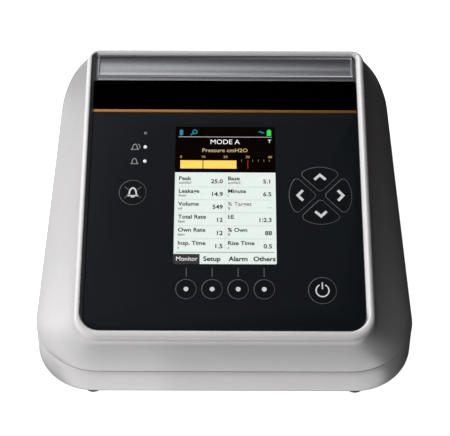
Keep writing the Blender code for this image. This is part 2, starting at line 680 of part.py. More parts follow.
def make_rear_panel(grey, dark, steel, white):
    """The flat connector plate, with its sockets, hose port and the flap over the data socket."""
    face, back = Y_REAR - 0.2 * MM, Y_REAR - 2.4 * MM
    half = REAR_PANEL_HALF - GAP
    low, high = REAR_PANEL_Z[0] + GAP, REAR_PANEL_Z[1] - GAP
    plate = add_object("rear_panel", box((-half, back, low), (half, face, high)), grey)
    upright = (math.radians(90), 0, 0)
    cuts = []
    port_hole = cylinder(11.0 * MM, -4 * MM, 4 * MM, ROUND)
    cuts.append(
        add_object("port_hole", port_hole, None, None, (PORT_CENTRE[0], face, PORT_CENTRE[1]), upright)
    )
    x, z = MAINS_CENTRE
    cuts.append(
        add_object(
            "mains_hole", box((x - 14 * MM, back - MM, z - 10 * MM), (x + 14 * MM, face + MM, z + 10 * MM))
        )
    )
    battery_low = (BATTERY_X[0] - GAP, back - MM, BATTERY_Z[0] - GAP)
    battery_high = (BATTERY_X[1] + GAP, face + MM, BATTERY_Z[1] + GAP)
    cuts.append(add_object("battery_hole", box(battery_low, battery_high)))
    cuts.append(
        add_object(
            "dc_hole",
            cylinder(4.3 * MM, -4 * MM, 4 * MM, 16),
            None,
            None,
            (DC_CENTRE[0], face, DC_CENTRE[1]),
            upright,
        )
    )
    fx, fz = FLAP_CENTRE
    cuts.append(
        add_object(
            "flap_hole", box((fx - 10 * MM, back - MM, fz - 4 * MM), (fx + 10 * MM, face + MM, fz + 4 * MM))
        )
    )
    combine(plate, cuts, "DIFFERENCE")

    profile = [(9.2 * MM, -10 * MM), (12.6 * MM, -10 * MM), (12.6 * MM, -2.7 * MM), (10.7 * MM, -2.7 * MM)]
    profile += [
        (10.7 * MM, PORT_REACH - 1.5 * MM), (10.4 * MM, PORT_REACH), (9.4 * MM, PORT_REACH),
        (9.2 * MM, PORT_REACH - MM),
    ]
    outward = (math.radians(-90), 0, 0)
    add_object(
        "hose_port",
        turned(profile, 28, closed=True),
        white,
        None,
        (PORT_CENTRE[0], Y_REAR, PORT_CENTRE[1]),
        outward,
    )

    socket = add_object(
        "mains_socket",
        box((x - 13.7 * MM, back - 16 * MM, z - 9.7 * MM), (x + 13.7 * MM, face + 0.6 * MM, z + 9.7 * MM)),
        dark,
    )
    recess = rounded_box_outline((0, 0), (24.2 * MM, 16.4 * MM), 3 * MM, 3)
    hollow = stack([(recess, -1.5 * MM), (recess, 20 * MM)])
    combine(
        socket, [add_object("socket_cut", hollow, None, None, (x, face - 10 * MM, z), outward)], "DIFFERENCE"
    )
    for number, (dx, dz) in enumerate(((-7 * MM, -1.4 * MM), (0, 2.2 * MM), (7 * MM, -1.4 * MM)), 1):
        blade_low, blade_high = (
            x + dx - MM, face - 11.2 * MM, z + dz - 2 * MM
        ), (x + dx + MM, face - 2.5 * MM, z + dz + 2 * MM)
        add_object(f"mains_pin_{number}", box(blade_low, blade_high), steel)

    dc = [
        (0, -9 * MM), (5.4 * MM, -9 * MM), (5.4 * MM, -2.8 * MM), (4.0 * MM, -2.8 * MM), (4.0 * MM, 0.4 * MM)
    ]
    dc += [
        (3.0 * MM, 0.4 * MM), (3.0 * MM, -7 * MM), (1.0 * MM, -7 * MM), (1.0 * MM, -0.6 * MM), (0, -0.6 * MM)
    ]
    add_object("dc_socket", turned(dc, 16), dark, None, (DC_CENTRE[0], face, DC_CENTRE[1]), outward)

    data = box((fx - 7 * MM, back - 8 * MM, fz - 2.6 * MM), (fx + 7 * MM, back - GAP, fz + 2.6 * MM))
    connector = add_object("data_socket", data, steel)
    mouth = box(
        (fx - 5.8 * MM, back - 6.5 * MM, fz - 1.6 * MM), (fx + 5.8 * MM, back + 2 * MM, fz + 1.6 * MM)
    )
    combine(connector, [add_object("data_mouth", mouth)], "DIFFERENCE")

    flap_low, flap_high = (
        fx - 9.7 * MM, face - 1.3 * MM, fz - 3.0 * MM
    ), (fx + 9.7 * MM, face + 0.3 * MM, fz + 3.7 * MM)
    flap = add_object("data_flap", box(flap_low, flap_high), dark)
    barrel = cylinder(0.8 * MM, -9.7 * MM, 9.7 * MM, 12)
    hinge = (fx, face - 0.5 * MM, fz - 3.0 * MM)
    combine(flap, [add_object("flap_barrel", barrel, None, None, hinge, (0, math.radians(90), 0))], "UNION")


DC_CENTRE = (17 * MM, 38.4 * MM)
FLAP_CENTRE = (43 * MM, 38.4 * MM)


def make_battery(material):
    """A pack that slides out of the rear, with a finger notch in its end."""
    low = (BATTERY_X[0], Y_REAR - BATTERY_LENGTH, BATTERY_Z[0])
    high = (BATTERY_X[1], Y_REAR + 0.6 * MM, BATTERY_Z[1])
    pack = add_object("battery_pack", box(low, high), material)
    bevel = pack.modifiers.new("edges", "BEVEL")
    bevel.width = 1.2 * MM
    bevel.segments = 2
    middle = (BATTERY_X[0] + BATTERY_X[1]) / 2
    outline = rounded_box_outline((0, 0), (22 * MM, 8 * MM), 3.5 * MM, 3)
    notch = stack([(scaled_outline(outline, 0.8), -4 * MM), (outline, 3 * MM)])
    place = (middle, Y_REAR - 0.5 * MM, BATTERY_Z[1] - 7 * MM)
    combine(
        pack, [add_object("pull_notch", notch, None, None, place, (math.radians(-90), 0, 0))], "DIFFERENCE"
    )


# ------------------------------------------------------------------ air path and electronics
def volute_outline(grow, centre_radius=27 * MM, growth=7 * MM):
    """A spiral that widens once round and runs out along +Y at its left side."""
    points = []
    steps = 26
    for step in range(steps + 1):
        angle = math.pi + 2 * math.pi * step / steps * 0.96
        radius = centre_radius + growth * (1 - step / steps) + grow
        points.append((radius * math.cos(angle), radius * math.sin(angle)))
    return points


def make_blower(plastic, lid_plastic, silver, rubber):
    """Volute, lid, impeller with its shaft, motor and the rubber ring that it stands on."""
    at = (BLOWER[0], Y_FRONT + BLOWER[1], 0)
    floor, top = 14 * MM, 34 * MM
    outer = volute_outline(0.0)
    volute = add_object("blower_volute", stack([(outer, floor), (outer, top)]), plastic, None, at)
    outlet_x = -24.5 * MM
    spout = box((outlet_x - 9.5 * MM, -2 * MM, floor), (outlet_x + 9.5 * MM, 40 * MM, top))
    combine(volute, [add_object("spout", spout, None, None, at)], "UNION")
    inner = volute_outline(-2.2 * MM)
    cuts = [
        add_object("volute_room", stack([(inner, floor + 2 * MM), (inner, top + 3 * MM)]), None, None, at)
    ]
    bore = cylinder(7.6 * MM, -2 * MM, 60 * MM, 20)
    middle = (floor + top) / 2
    place = (at[0] + outlet_x, at[1], middle + 0.4 * MM)
    cuts.append(add_object("spout_bore", bore, None, None, place, (math.radians(-90), 0, 0)))
    cuts.append(add_object("inlet_bore", cylinder(11 * MM, floor - MM, floor + 4 * MM, 24), None, None, at))
    combine(volute, cuts, "DIFFERENCE")

    lid = add_object(
        "blower_lid",
        stack([(volute_outline(0.0), top + GAP), (volute_outline(0.0), top + 2.4 * MM)]),
        lid_plastic,
        None,
        at,
    )
    combine(
        lid,
        [add_object("shaft_hole", cylinder(2.2 * MM, top - MM, top + 5 * MM, 16), None, None, at)],
        "DIFFERENCE",
    )

    plate = [
        (0, floor + 5 * MM), (22 * MM, floor + 5 * MM), (22 * MM, floor + 6.4 * MM),
        (6 * MM, floor + 6.4 * MM),
    ]
    plate += [
        (4 * MM, floor + 12 * MM), (1.5 * MM, floor + 12 * MM), (1.5 * MM, top + 12 * MM), (0, top + 12 * MM)
    ]
    impeller = add_object("blower_impeller", turned(plate, ROUND), plastic, None, at)
    blades = []
    for blade in range(9):
        shape = box((5 * MM, -0.6 * MM, floor + 6 * MM), (21.5 * MM, 0.6 * MM, floor + 11 * MM))
        bmesh.ops.rotate(shape, cent=(5 * MM, 0, 0), matrix=Matrix.Rotation(-0.5, 3, "Z"), verts=shape.verts)
        blades.append(add_object("impeller_blade", shape, None, None, at, (0, 0, 2 * math.pi * blade / 9)))
    combine(impeller, blades, "UNION")

    can = [
        (0, top + 12.4 * MM), (1.8 * MM, top + 12.4 * MM), (1.8 * MM, top + 2.7 * MM),
        (15 * MM, top + 2.7 * MM),
    ]
    can += [(15 * MM, top + 17 * MM), (13 * MM, top + 19 * MM), (0, top + 19 * MM)]
    add_object("blower_motor", turned(can, 20), silver, None, at)
    foot = [
        (14 * MM, BASE_Z + 2.6 * MM), (25 * MM, BASE_Z + 2.6 * MM), (23 * MM, floor - GAP),
        (14 * MM, floor - GAP),
    ]
    add_object("blower_mount", turned(foot, 20, closed=True), rubber, None, at)


def make_air_path(duct, sensor, foam):
    """Duct from the blower to the hose port through the flow sensor, and the foam silencer on the way in."""
    start_x = BLOWER[0] - 24.5 * MM
    y0 = Y_FRONT + BLOWER[1] + 40 * MM + GAP
    z0, z1 = 24.4 * MM, PORT_CENTRE[1]
    y1, y2 = y0 + 38 * MM, Y_REAR - 10 * MM - GAP
    steps, straight = 8, 3 * MM
    path = [(start_x, y0, z0)]
    for step in range(steps + 1):
        share = step / steps
        ease = share * share * (3 - 2 * share)
        y = y0 + straight + (y1 - y0 - 2 * straight) * share
        path.append((start_x + (PORT_CENTRE[0] - start_x) * ease, y, z0 + (z1 - z0) * ease))
    path.append((PORT_CENTRE[0], y1, z1))
    add_object("outlet_duct", pipe(path, 9.2 * MM, 7.6 * MM), duct)
    rear_axis = (math.radians(-90), 0, 0)
    length = y2 - y1 - 2 * GAP
    tube = [(7.8 * MM, 0), (10 * MM, 0), (10 * MM, length), (7.8 * MM, length)]
    place = (PORT_CENTRE[0], y1 + GAP, PORT_CENTRE[1])
    meter = add_object("flow_sensor", turned(tube, 20, closed=True), sensor, None, place, rear_axis)
    head = box(
        (PORT_CENTRE[0] - 7 * MM, y1 + 6 * MM, PORT_CENTRE[1] + 8.6 * MM),
        (PORT_CENTRE[0] + 7 * MM, y1 + 18 * MM, PORT_CENTRE[1] + 15 * MM),
    )
    combine(meter, [add_object("sensor_head", head)], "UNION")
    low = (-70 * MM, Y_FRONT + 128 * MM, 41 * MM)
    high = (-14 * MM, Y_FRONT + 157 * MM, 57 * MM)
    silencer = add_object("inlet_silencer", box(low, high), foam)
    edges = silencer.modifiers.new("edges", "BEVEL")
    edges.width = 2 * MM
    edges.segments = 1


def make_board(name, low, size, parts, material):
    """A circuit board with blocks on it. parts holds (x, y, width, length, height) from its low corner."""
    x, y, z = low
    board = add_object(name, box(low, (x + size[0], y + size[1], z + 1.6 * MM)), material)
    blocks = []
    for px, py, width, length, height in parts:
        start = (x + px, y + py, z + 1.4 * MM)
        blocks.append(
            add_object("component", box(start, (start[0] + width, start[1] + length, start[2] + height)))
        )
    return combine(board, blocks, "UNION")


def make_electronics(green, dark, grey):
    supply_parts = (
        (6, 6, 22, 26, 16), (34, 6, 14, 30, 14), (8, 40, 16, 20, 12), (30, 44, 26, 18, 17),
        (10, 66, 34, 10, 11),
    )
    supply_parts = [[v * MM for v in part] for part in supply_parts]
    make_board("power_supply", (4 * MM, Y_FRONT + 12 * MM, 8.5 * MM), (60 * MM, 80 * MM), supply_parts, green)
    main_parts = (
        (8, 10, 14, 14, 2), (30, 12, 10, 10, 1.6), (46, 8, 8, 30, 4), (10, 34, 22, 8, 3),
        (12, 52, 30, 16, 3.4),
    )
    main_parts = [[v * MM for v in part] for part in main_parts]
    make_board("main_board", (4 * MM, Y_FRONT + 46 * MM, 39 * MM), (60 * MM, 76 * MM), main_parts, green)
    buzzer = [(0, 0), (10 * MM, 0), (10 * MM, 6 * MM), (8 * MM, 7 * MM), (0, 7 * MM)]
    add_object(
        "alarm_buzzer", turned(buzzer, 20), dark, None, (-48 * MM, Y_FRONT + 26 * MM, BASE_Z + 2.6 * MM)
    )
    ribbon = []
    for step in range(9):
        share = step / 8
        ribbon.append((Y_FRONT + (36 + 8 * math.sin(math.pi * share)) * MM, (42.5 - 15 * share) * MM))
    loops = []
    for x in (-16 * MM, -1 * MM):
        front = [(x, y, z) for y, z in ribbon]
        back = [(x, y + 0.8 * MM, z) for y, z in reversed(ribbon)]
        loops.append(front + back)
    add_object("ribbon_cable", loft(loops), grey)


def make_feet_and_screws(rubber, steel):
    foot = [(0, 0), (4.3 * MM, 0), (4.9 * MM, 0.6 * MM), (5.1 * MM, BASE_Z - GAP), (0, BASE_Z - GAP)]
    names = ("foot_front_left", "foot_front_right", "foot_rear_left", "foot_rear_right")
    places = [(side * FEET_X, Y_FRONT + depth, 0) for depth in FEET_DEPTHS for side in (-1, 1)]
    for name, place in zip(names, places):
        add_object(name, turned(foot, 20), rubber, None, place)
    head, shank = BASE_Z - 0.6 * MM, BASE_Z + 1.1 * MM - GAP
    screw = [
        (0, head), (2.6 * MM, head), (2.8 * MM, head + 0.4 * MM), (2.8 * MM, shank), (0.95 * MM, shank),
        (0.95 * MM, 15 * MM), (0, 16 * MM),
    ]
    for number, (x, y, _) in enumerate(post_places(), 1):
        add_object(f"case_screw_{number}", turned(screw, 12), steel, None, (x, y, 0))


def main():
    clear_scene()
    white = make_material("case_white", (0.80, 0.80, 0.79), 0.32)
    panel_black = make_material("panel_charcoal", (0.016, 0.018, 0.022), 0.42)
    gloss_black = make_material("header_black", (0.004, 0.004, 0.005), 0.15)
    gold = make_material("accent_gold", (0.55, 0.27, 0.07), 0.35, 0.6)
    silver = make_material("silver_paint", (0.45, 0.46, 0.49), 0.30, 0.7)
    glass = make_material("display_glass", (0.75, 0.85, 0.80), 0.10)
    lens = make_material("lamp_lens", (0.85, 0.85, 0.85), 0.20)
    rubber = make_material("black_rubber", (0.01, 0.01, 0.01), 0.80)
    dark = make_material("dark_plastic", (0.03, 0.03, 0.035), 0.50)
    grey = make_material("grey_plastic", (0.30, 0.31, 0.32), 0.45)
    steel = make_material("steel", (0.55, 0.55, 0.56), 0.30, 1.0)
    board = make_material("circuit_board", (0.02, 0.16, 0.06), 0.50)
    foam = make_material("filter_foam", (0.10, 0.10, 0.11), 0.95)

    panel_frame = add_frame("panel_frame", on_panel(0, 0, 0), (PANEL_TILT, 0, 0))
    rear_frame = add_frame("rear_frame", REAR_TOP, (-REAR_ANGLE, 0, 0))

    make_upper_case(white, panel_frame, rear_frame)
    make_lower_case(white)
    make_front_panel(panel_black, panel_frame)
    make_header_and_strip(gloss_black, gold, panel_frame)
    make_handle_grip(silver, panel_frame)
    make_keys(panel_black, panel_frame)
    make_display(glass, steel, panel_frame)
    make_lamps(lens, panel_frame)
    make_keypad_board(board, panel_frame)
    make_handle_pocket(dark, rear_frame)
    make_filter_cover(white, foam, steel, rear_frame)
    make_cooling_fan(dark, rear_frame)
    make_rear_panel(grey, dark, steel, white)
    make_battery(grey)
    make_blower(white, white, steel, rubber)
    make_air_path(grey, white, foam)
    make_electronics(board, dark, grey)
    make_feet_and_screws(rubber, steel)


main()
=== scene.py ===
"""Looks for the desktop ventilator: painted case, keypad film, keys, lit display, grip and rear."""

import math

import bmesh
import bpy
from mathutils import Matrix, Vector


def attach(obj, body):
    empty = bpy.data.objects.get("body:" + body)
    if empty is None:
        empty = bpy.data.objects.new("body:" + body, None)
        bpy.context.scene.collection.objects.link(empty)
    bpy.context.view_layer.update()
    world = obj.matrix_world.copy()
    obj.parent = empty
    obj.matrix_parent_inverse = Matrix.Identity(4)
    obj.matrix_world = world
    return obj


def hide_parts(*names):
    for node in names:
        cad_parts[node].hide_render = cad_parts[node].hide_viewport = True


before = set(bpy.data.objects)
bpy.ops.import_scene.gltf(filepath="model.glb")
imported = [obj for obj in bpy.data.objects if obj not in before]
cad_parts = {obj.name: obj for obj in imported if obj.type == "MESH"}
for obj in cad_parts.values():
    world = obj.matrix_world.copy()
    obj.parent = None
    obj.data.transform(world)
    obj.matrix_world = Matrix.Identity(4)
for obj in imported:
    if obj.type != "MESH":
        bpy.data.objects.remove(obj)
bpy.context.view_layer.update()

MM = 0.001
CASE = "case"

# Shape of the case, in metres, as the CAD has it
HALF_WIDTH = 93.0 * MM
Y_FRONT = -111.0 * MM
Y_REAR = 94.0 * MM
BASE_Z = 3.8 * MM
PARTING_Z = 22.6 * MM
FRONT_RADIUS = 33.0 * MM
REAR_RADIUS = 25.0 * MM
CORNER_SQUARING = 3.5 * MM
BOTTOM_ROUND = 4.5 * MM
SIDE_BULGE = 3.3 * MM
WALL = 2.4 * MM
REAR_WALL_TOP = 45.2 * MM
PANEL_TILT = math.radians(19.3)
PANEL_FRONT = 4.31 * MM
PANEL_Z = 49.3 * MM
RECESS_HALF = 66.1 * MM
RECESS_LENGTH = 145.8 * MM
RECESS_RADIUS = 8.0 * MM
LIP_REACH = 4.45 * MM
FRONT_LIP_SCALE = 1.2
LIP_DROP = -2.6 * MM
REAR_LIP_SCALE = 0.75
REAR_LIP_RADIUS = 1.5 * MM
SMALLEST_LIP_RADIUS = 1.2 * MM
VISIBLE_RECESS = 147.0 * MM
FLOOR_THICKNESS = 2.2 * MM

# Soft bend of the rear face, as shares of the way from the parting line to the lip
BEND_SHARE = 0.30
BEND_SPAN = 0.07

# Openings in the case: connector panel, hand hollow, filter door, louvres, foot wells and floor slots
CONNECTOR_HALF = 62.0 * MM
CONNECTOR_BOTTOM = 11.5 * MM
CONNECTOR_TOP = 43.8 * MM
POCKET_CENTRE = (0.0, 25.0 * MM)
POCKET_SIZE = (100.0 * MM, 26.0 * MM)
DOOR_CENTRE = (-33.0 * MM, 57.65 * MM)
DOOR_SIZE = (54.0 * MM, 27.3 * MM)
LOUVRES = 5
LOUVRE_CENTRE = (38.0 * MM, 57.0 * MM)
LOUVRE_SIZE = (32.0 * MM, 2.2 * MM)
LOUVRE_PITCH = 5.0 * MM
FOOT_PLACES = ((-74 * MM, -66 * MM), (74 * MM, -66 * MM), (-74 * MM, 19 * MM), (74 * MM, 19 * MM))
FOOT_WELL_RADIUS = 3.2 * MM
FLOOR_SLOTS = 6
FLOOR_SLOT_START = (-64.5 * MM, Y_FRONT + 78 * MM)
FLOOR_SLOT_SIZE = (3.0 * MM, 36.0 * MM)
FLOOR_SLOT_PITCH = 9.0 * MM

# Display and keys, in the panel's own plane: across, then up its slope
SCREEN_LEFT = -24.6 * MM
SCREEN_TOP = 106.5 * MM
SCREEN_SIZE = (49.4 * MM, 73.4 * MM)
PAD_CENTRE = (46.5 * MM, 69.1 * MM)
PAD_RADIUS = 15.6 * MM
PAD_HALF_GAP = 0.85 * MM
PAD_CORNER_RADIUS = 2.3 * MM
PAD_ARC_TRIM = 2.65 * MM
MUTE_KEY = (-44.9 * MM, 70.3 * MM)
POWER_KEY = (46.1 * MM, 19.9 * MM)
ROUND_KEY_RADIUS = 6.9 * MM
MENU_KEY_RADIUS = 5.2 * MM
MENU_KEY_ROW = 20.4 * MM
MENU_KEY_PITCH = 12.3 * MM
MENU_KEY_SHIFT = 0.2 * MM
LAMP_X = -39.5 * MM
LAMP_ROWS = (102.8 * MM, 95.2 * MM, 87.4 * MM)

# Panel, header and grip along the slope, and how far print stands over the panel's plane
PANEL_GAP = 0.15 * MM
PANEL_LENGTH = 114.4 * MM
HEADER_ENDS = (116.2 * MM, 132.6 * MM)
ACCENT_ENDS = (114.6 * MM, 116.1 * MM)
GRIP_FRONT = 132.9 * MM
GRIP_EDGE = 134.75 * MM
GRIP_HALF = 64.8 * MM
KEY_PRINT = 0.11 * MM
PANEL_PRINT = 0.01 * MM

PAD_KEYS = ("up_key", "left_key", "down_key", "right_key")


# ------------------------------------------------------------------ materials
def surface(
    name, colour, roughness, metallic=0.0, tone=0.04, tone_scale=60.0, grain=0.0, grain_scale=1500.0,
    glow=0.0, specular=0.5, rough_spread=0.05
):
    """A Principled material whose colour and roughness drift a little, with a fine grain in relief.

    tone is the share by which the colour drifts, grain the relief's depth in metres, glow its own light.
    """
    made = bpy.data.materials.new(name)
    made.use_nodes = True
    nodes, links = made.node_tree.nodes, made.node_tree.links
    shader = nodes["Principled BSDF"]
    place = nodes.new("ShaderNodeTexCoord")
    drift = nodes.new("ShaderNodeTexNoise")
    drift.inputs["Scale"].default_value = tone_scale
    drift.inputs["Detail"].default_value = 3.0
    links.new(place.outputs["Object"], drift.inputs["Vector"])
    ramp = nodes.new("ShaderNodeValToRGB")
    ramp.color_ramp.elements[0].position = 0.3
    ramp.color_ramp.elements[1].position = 0.7
    ramp.color_ramp.elements[0].color = (*[c * (1 - tone) for c in colour], 1.0)
    ramp.color_ramp.elements[1].color = (*[min(c * (1 + tone), 1.0) for c in colour], 1.0)
    links.new(drift.outputs["Fac"], ramp.inputs["Fac"])
    links.new(ramp.outputs["Color"], shader.inputs["Base Color"])
    fine = nodes.new("ShaderNodeTexNoise")
    fine.inputs["Scale"].default_value = grain_scale
    fine.inputs["Detail"].default_value = 2.0
    links.new(place.outputs["Object"], fine.inputs["Vector"])
    spread = nodes.new("ShaderNodeMapRange")
    spread.inputs["To Min"].default_value = max(roughness - rough_spread, 0.02)
    spread.inputs["To Max"].default_value = min(roughness + rough_spread, 1.0)
    links.new(fine.outputs["Fac"], spread.inputs["Value"])
    links.new(spread.outputs["Result"], shader.inputs["Roughness"])
    if grain:
        relief = nodes.new("ShaderNodeBump")
        relief.inputs["Strength"].default_value = 0.6
        relief.inputs["Distance"].default_value = grain
        links.new(fine.outputs["Fac"], relief.inputs["Height"])
        links.new(relief.outputs["Normal"], shader.inputs["Normal"])
    shader.inputs["Metallic"].default_value = metallic
    shader.inputs["Specular IOR Level"].default_value = specular
    if glow:
        links.new(ramp.outputs["Color"], shader.inputs["Emission Color"])
        shader.inputs["Emission Strength"].default_value = glow
    return made


def film(name, colour):
    """Printed keypad film: near black and matt, with a very fine grain."""
    return surface(
        name, colour, 0.45, tone=0.07, tone_scale=900.0, grain=0.00003, grain_scale=4000.0, specular=0.08
    )


def screen_colour(name, colour, tone, glow=0.0, roughness=0.25, specular=0.1):
    """A colour of the lit display, which gives its own light and hardly mirrors."""
    return surface(name, colour, roughness, tone=tone, tone_scale=2200.0, glow=glow, specular=specular)


paint_upper = surface("paint_upper", (0.80, 0.785, 0.79), 0.42, metallic=0.5, tone=0.015, grain=0.00002)
# Lighter copy of the case paint for the lip's crown: painted light, for the extra light the crown catches
paint_lip_painted_light = surface("paint_lip_painted_light", (0.90, 0.885, 0.88), 0.42, metallic=0.15, tone=0.012, grain=0.00002)
paint_bevel = surface("paint_bevel", (0.62, 0.61, 0.61), 0.35, metallic=0.95, tone=0.012, grain=0.00002)
paint_lower = surface("paint_lower", (0.80, 0.785, 0.79), 0.42, metallic=0.5, tone=0.015, grain=0.00002)
shell_inside = surface("shell_inside", (0.35, 0.35, 0.36), 0.6, tone=0.06, grain=0.00005)
panel_film = film("panel_film", (0.0084, 0.0111, 0.0144))
key_film = film("key_film", (0.0060, 0.0080, 0.0105))
header_gloss = surface(
    "header_gloss", (0.0003, 0.0003, 0.0004), 0.12, tone=0.2, rough_spread=0.02, specular=0.0
)
gold_print = surface(
    "gold_print", (0.40, 0.165, 0.026), 0.33, metallic=0.35, tone=0.10, tone_scale=25.0, grain=0.00001
)
silver_paint = surface(
    "silver_paint", (0.36, 0.365, 0.39), 0.32, metallic=0.9, tone=0.05, tone_scale=700.0,
    grain=0.00002, grain_scale=3000.0
)
grey_print = surface("grey_print", (0.115, 0.118, 0.122), 0.5, tone=0.08, tone_scale=500.0)
grey_print_light = surface("grey_print_light", (0.42, 0.42, 0.43), 0.5, tone=0.05, tone_scale=500.0)
# White key print: the white is the print's own colour, its glow of 0.12 is painted light
white_print_painted_glow = surface("white_print_painted_glow", (0.82, 0.82, 0.83), 0.45, tone=0.03, tone_scale=500.0, glow=0.12)
lamp_lit = surface("lamp_lit", (0.86, 0.86, 0.86), 0.25, tone=0.03, tone_scale=500.0, glow=0.35)
lamp_dim = surface("lamp_dim", (0.22, 0.22, 0.225), 0.30, tone=0.05, tone_scale=500.0)
screen_pale = screen_colour("screen_pale", (0.50, 0.555, 0.525), tone=0.012, glow=0.98, roughness=0.3)
screen_dark = screen_colour("screen_dark", (0.0035, 0.0015, 0.0010), tone=0.2, glow=0.3, specular=0.0)
screen_yellow = screen_colour("screen_yellow", (0.96, 0.57, 0.10), tone=0.03, glow=0.65)
screen_red = screen_colour("screen_red", (0.42, 0.02, 0.03), tone=0.05, glow=0.5)
screen_cyan = screen_colour("screen_cyan", (0.01, 0.25, 0.34), tone=0.05, glow=0.4)
screen_green = screen_colour("screen_green", (0.02, 0.66, 0.06), tone=0.05, glow=0.5)
screen_white = screen_colour("screen_white", (0.85, 0.85, 0.85), tone=0.03, glow=0.5)
screen_tan = screen_colour("screen_tan", (0.56, 0.43, 0.20), tone=0.05, glow=0.45)
screen_ink = screen_colour("screen_ink", (0.018, 0.021, 0.022), tone=0.10)
screen_grey = screen_colour("screen_grey", (0.30, 0.335, 0.32), tone=0.05, glow=0.15)
screen_tab = screen_colour("screen_tab", (0.050, 0.044, 0.046), tone=0.10, glow=0.1)
rubber_black = surface(
    "rubber_black", (0.010, 0.010, 0.011), 0.75, tone=0.25, tone_scale=300.0, grain=0.00006
)
plastic_dark = surface(
    "plastic_dark", (0.028, 0.028, 0.031), 0.48, tone=0.10, tone_scale=200.0, grain=0.00006
)
plastic_grey = surface("plastic_grey", (0.26, 0.27, 0.28), 0.45, tone=0.04, tone_scale=200.0, grain=0.00006)
plastic_white = surface("plastic_white", (0.72, 0.72, 0.70), 0.42, tone=0.03, tone_scale=200.0, grain=0.00004)
steel_plain = surface(
    "steel_plain", (0.56, 0.56, 0.57), 0.30, metallic=1.0, tone=0.05, tone_scale=300.0, grain=0.00002
)
board_green = surface("board_green", (0.012, 0.11, 0.045), 0.42, tone=0.35, tone_scale=260.0, grain=0.00008)
foam_grey = surface(
    "foam_grey", (0.10, 0.10, 0.105), 0.95, tone=0.45, tone_scale=700.0, grain=0.0005, grain_scale=900.0
)
floor_pale = surface("floor_pale", (0.93, 0.93, 0.93), 0.9, tone=0.004, tone_scale=3.0, glow=1.05)


# ------------------------------------------------------------------ mesh helpers
def finish_piece(name, bm, materials, body=CASE, node=(), smooth=35.0):
    """Makes the bmesh a piece that rides on a body and stands for CAD nodes."""
    bmesh.ops.recalc_face_normals(bm, faces=bm.faces)
    mesh = bpy.data.meshes.new(name)
    bm.to_mesh(mesh)
    bm.free()
    mesh.shade_smooth()
    mesh.set_sharp_from_angle(angle=math.radians(smooth))
    for material in materials:
        mesh.materials.append(material)
    obj = bpy.data.objects.new(name, mesh)
    bpy.context.scene.collection.objects.link(obj)
    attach(obj, body)
    if node:
        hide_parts(*node)
    return obj


def skin(rows, ring=False, caps=True, material_rows=None, bm=None):
    """Quads through rows of points with equal counts. material_rows gives each band's material index."""
    bm = bm or bmesh.new()
    verts = [[bm.verts.new(point) for point in row] for row in rows]
    pairs = list(zip(verts, verts[1:]))
    if ring:
        pairs.append((verts[-1], verts[0]))
    for band, (low, high) in enumerate(pairs):
        for i in range(len(low)):
            j = (i + 1) % len(low)
            face = bm.faces.new((low[i], low[j], high[j], high[i]))
            face.material_index = material_rows[band] if material_rows else 0
    if caps and not ring:
        first = bm.faces.new(list(reversed(verts[0])))
        last = bm.faces.new(verts[-1])
        if material_rows:
            first.material_index, last.material_index = material_rows[0], material_rows[-1]
    return bm


def outline(half_width, front, rear, front_radius, rear_radius, steps=20, side_points=20):
    """Anticlockwise (x, y, outward angle) round a rectangle with corner arcs and points on its sides."""
    corners = (
        (half_width - front_radius, front + front_radius, front_radius, -90),
        (half_width - rear_radius, rear - rear_radius, rear_radius, 0),
        (rear_radius - half_width, rear - rear_radius, rear_radius, 90),
        (front_radius - half_width, front + front_radius, front_radius, 180),
    )
    loop = []
    for number, (x, y, radius, start) in enumerate(corners):
        for step in range(steps + 1):
            angle = math.radians(start + 90 * step / steps)
            loop.append((x + radius * math.cos(angle), y + radius * math.sin(angle), angle))
        if number in (0, 2):
            side, _, angle = loop[-1]
            ends = (front + front_radius, rear - rear_radius)
            low, high = ends if number == 0 else reversed(ends)
            for point in range(1, side_points + 1):
                loop.append((side, low + (high - low) * point / (side_points + 1), angle))
    return loop


def rounded_box(centre, size, radius, steps=6):
    """Points round a rectangle with rounded corners."""
    loop = outline(size[0] / 2, -size[1] / 2, size[1] / 2, radius, radius, steps, 0)
    return [(centre[0] + x, centre[1] + y) for x, y, _ in loop]


def circle(centre, radius, sides=64):
    """Points round a circle."""
    angles = [2 * math.pi * i / sides for i in range(sides)]
    return [(centre[0] + radius * math.cos(a), centre[1] + radius * math.sin(a)) for a in angles]


def level(x, y, z):
    """A point at its plain place, for slabs that lie level."""
    return Vector((x, y, z))


def on_panel(x, up, out=0.0):
    """A point on the control panel: across, up its slope from the recess's front edge, and out of it."""
    y = Y_FRONT + PANEL_FRONT + up * math.cos(PANEL_TILT) - out * math.sin(PANEL_TILT)
    return Vector((x, y, PANEL_Z + up * math.sin(PANEL_TILT) + out * math.cos(PANEL_TILT)))


def prism(shape, low, high, place=on_panel, bm=None):
    """A thin closed slab with the outline of shape, between two heights over a surface."""
    return skin([[place(x, y, height) for x, y in shape] for height in (low, high)], bm=bm)


def cut(obj, tools):
    """Applies exact Boolean cuts to a piece's mesh, one tool after another."""
    for tool in tools:
        modifier = obj.modifiers.new("cut", "BOOLEAN")
        modifier.object = tool
        modifier.operation = "DIFFERENCE"
        modifier.solver = "EXACT"
    bpy.context.view_layer.update()
    graph = bpy.context.evaluated_depsgraph_get()
    result = bpy.data.meshes.new_from_object(obj.evaluated_get(graph), depsgraph=graph)
    obj.modifiers.clear()
    old, obj.data = obj.data, result
    result.name = old.name
    for tool in tools:
        bpy.data.objects.remove(tool, do_unlink=True)
    result.set_sharp_from_angle(angle=math.radians(35))


def tool_from(bm):
    """Makes a bmesh an object for cut(), which removes it again."""
    bmesh.ops.recalc_face_normals(bm, faces=bm.faces)
    mesh = bpy.data.meshes.new("tool")
    bm.to_mesh(mesh)
    bm.free()
    obj = bpy.data.objects.new("tool", mesh)
    bpy.context.scene.collection.objects.link(obj)
    return obj


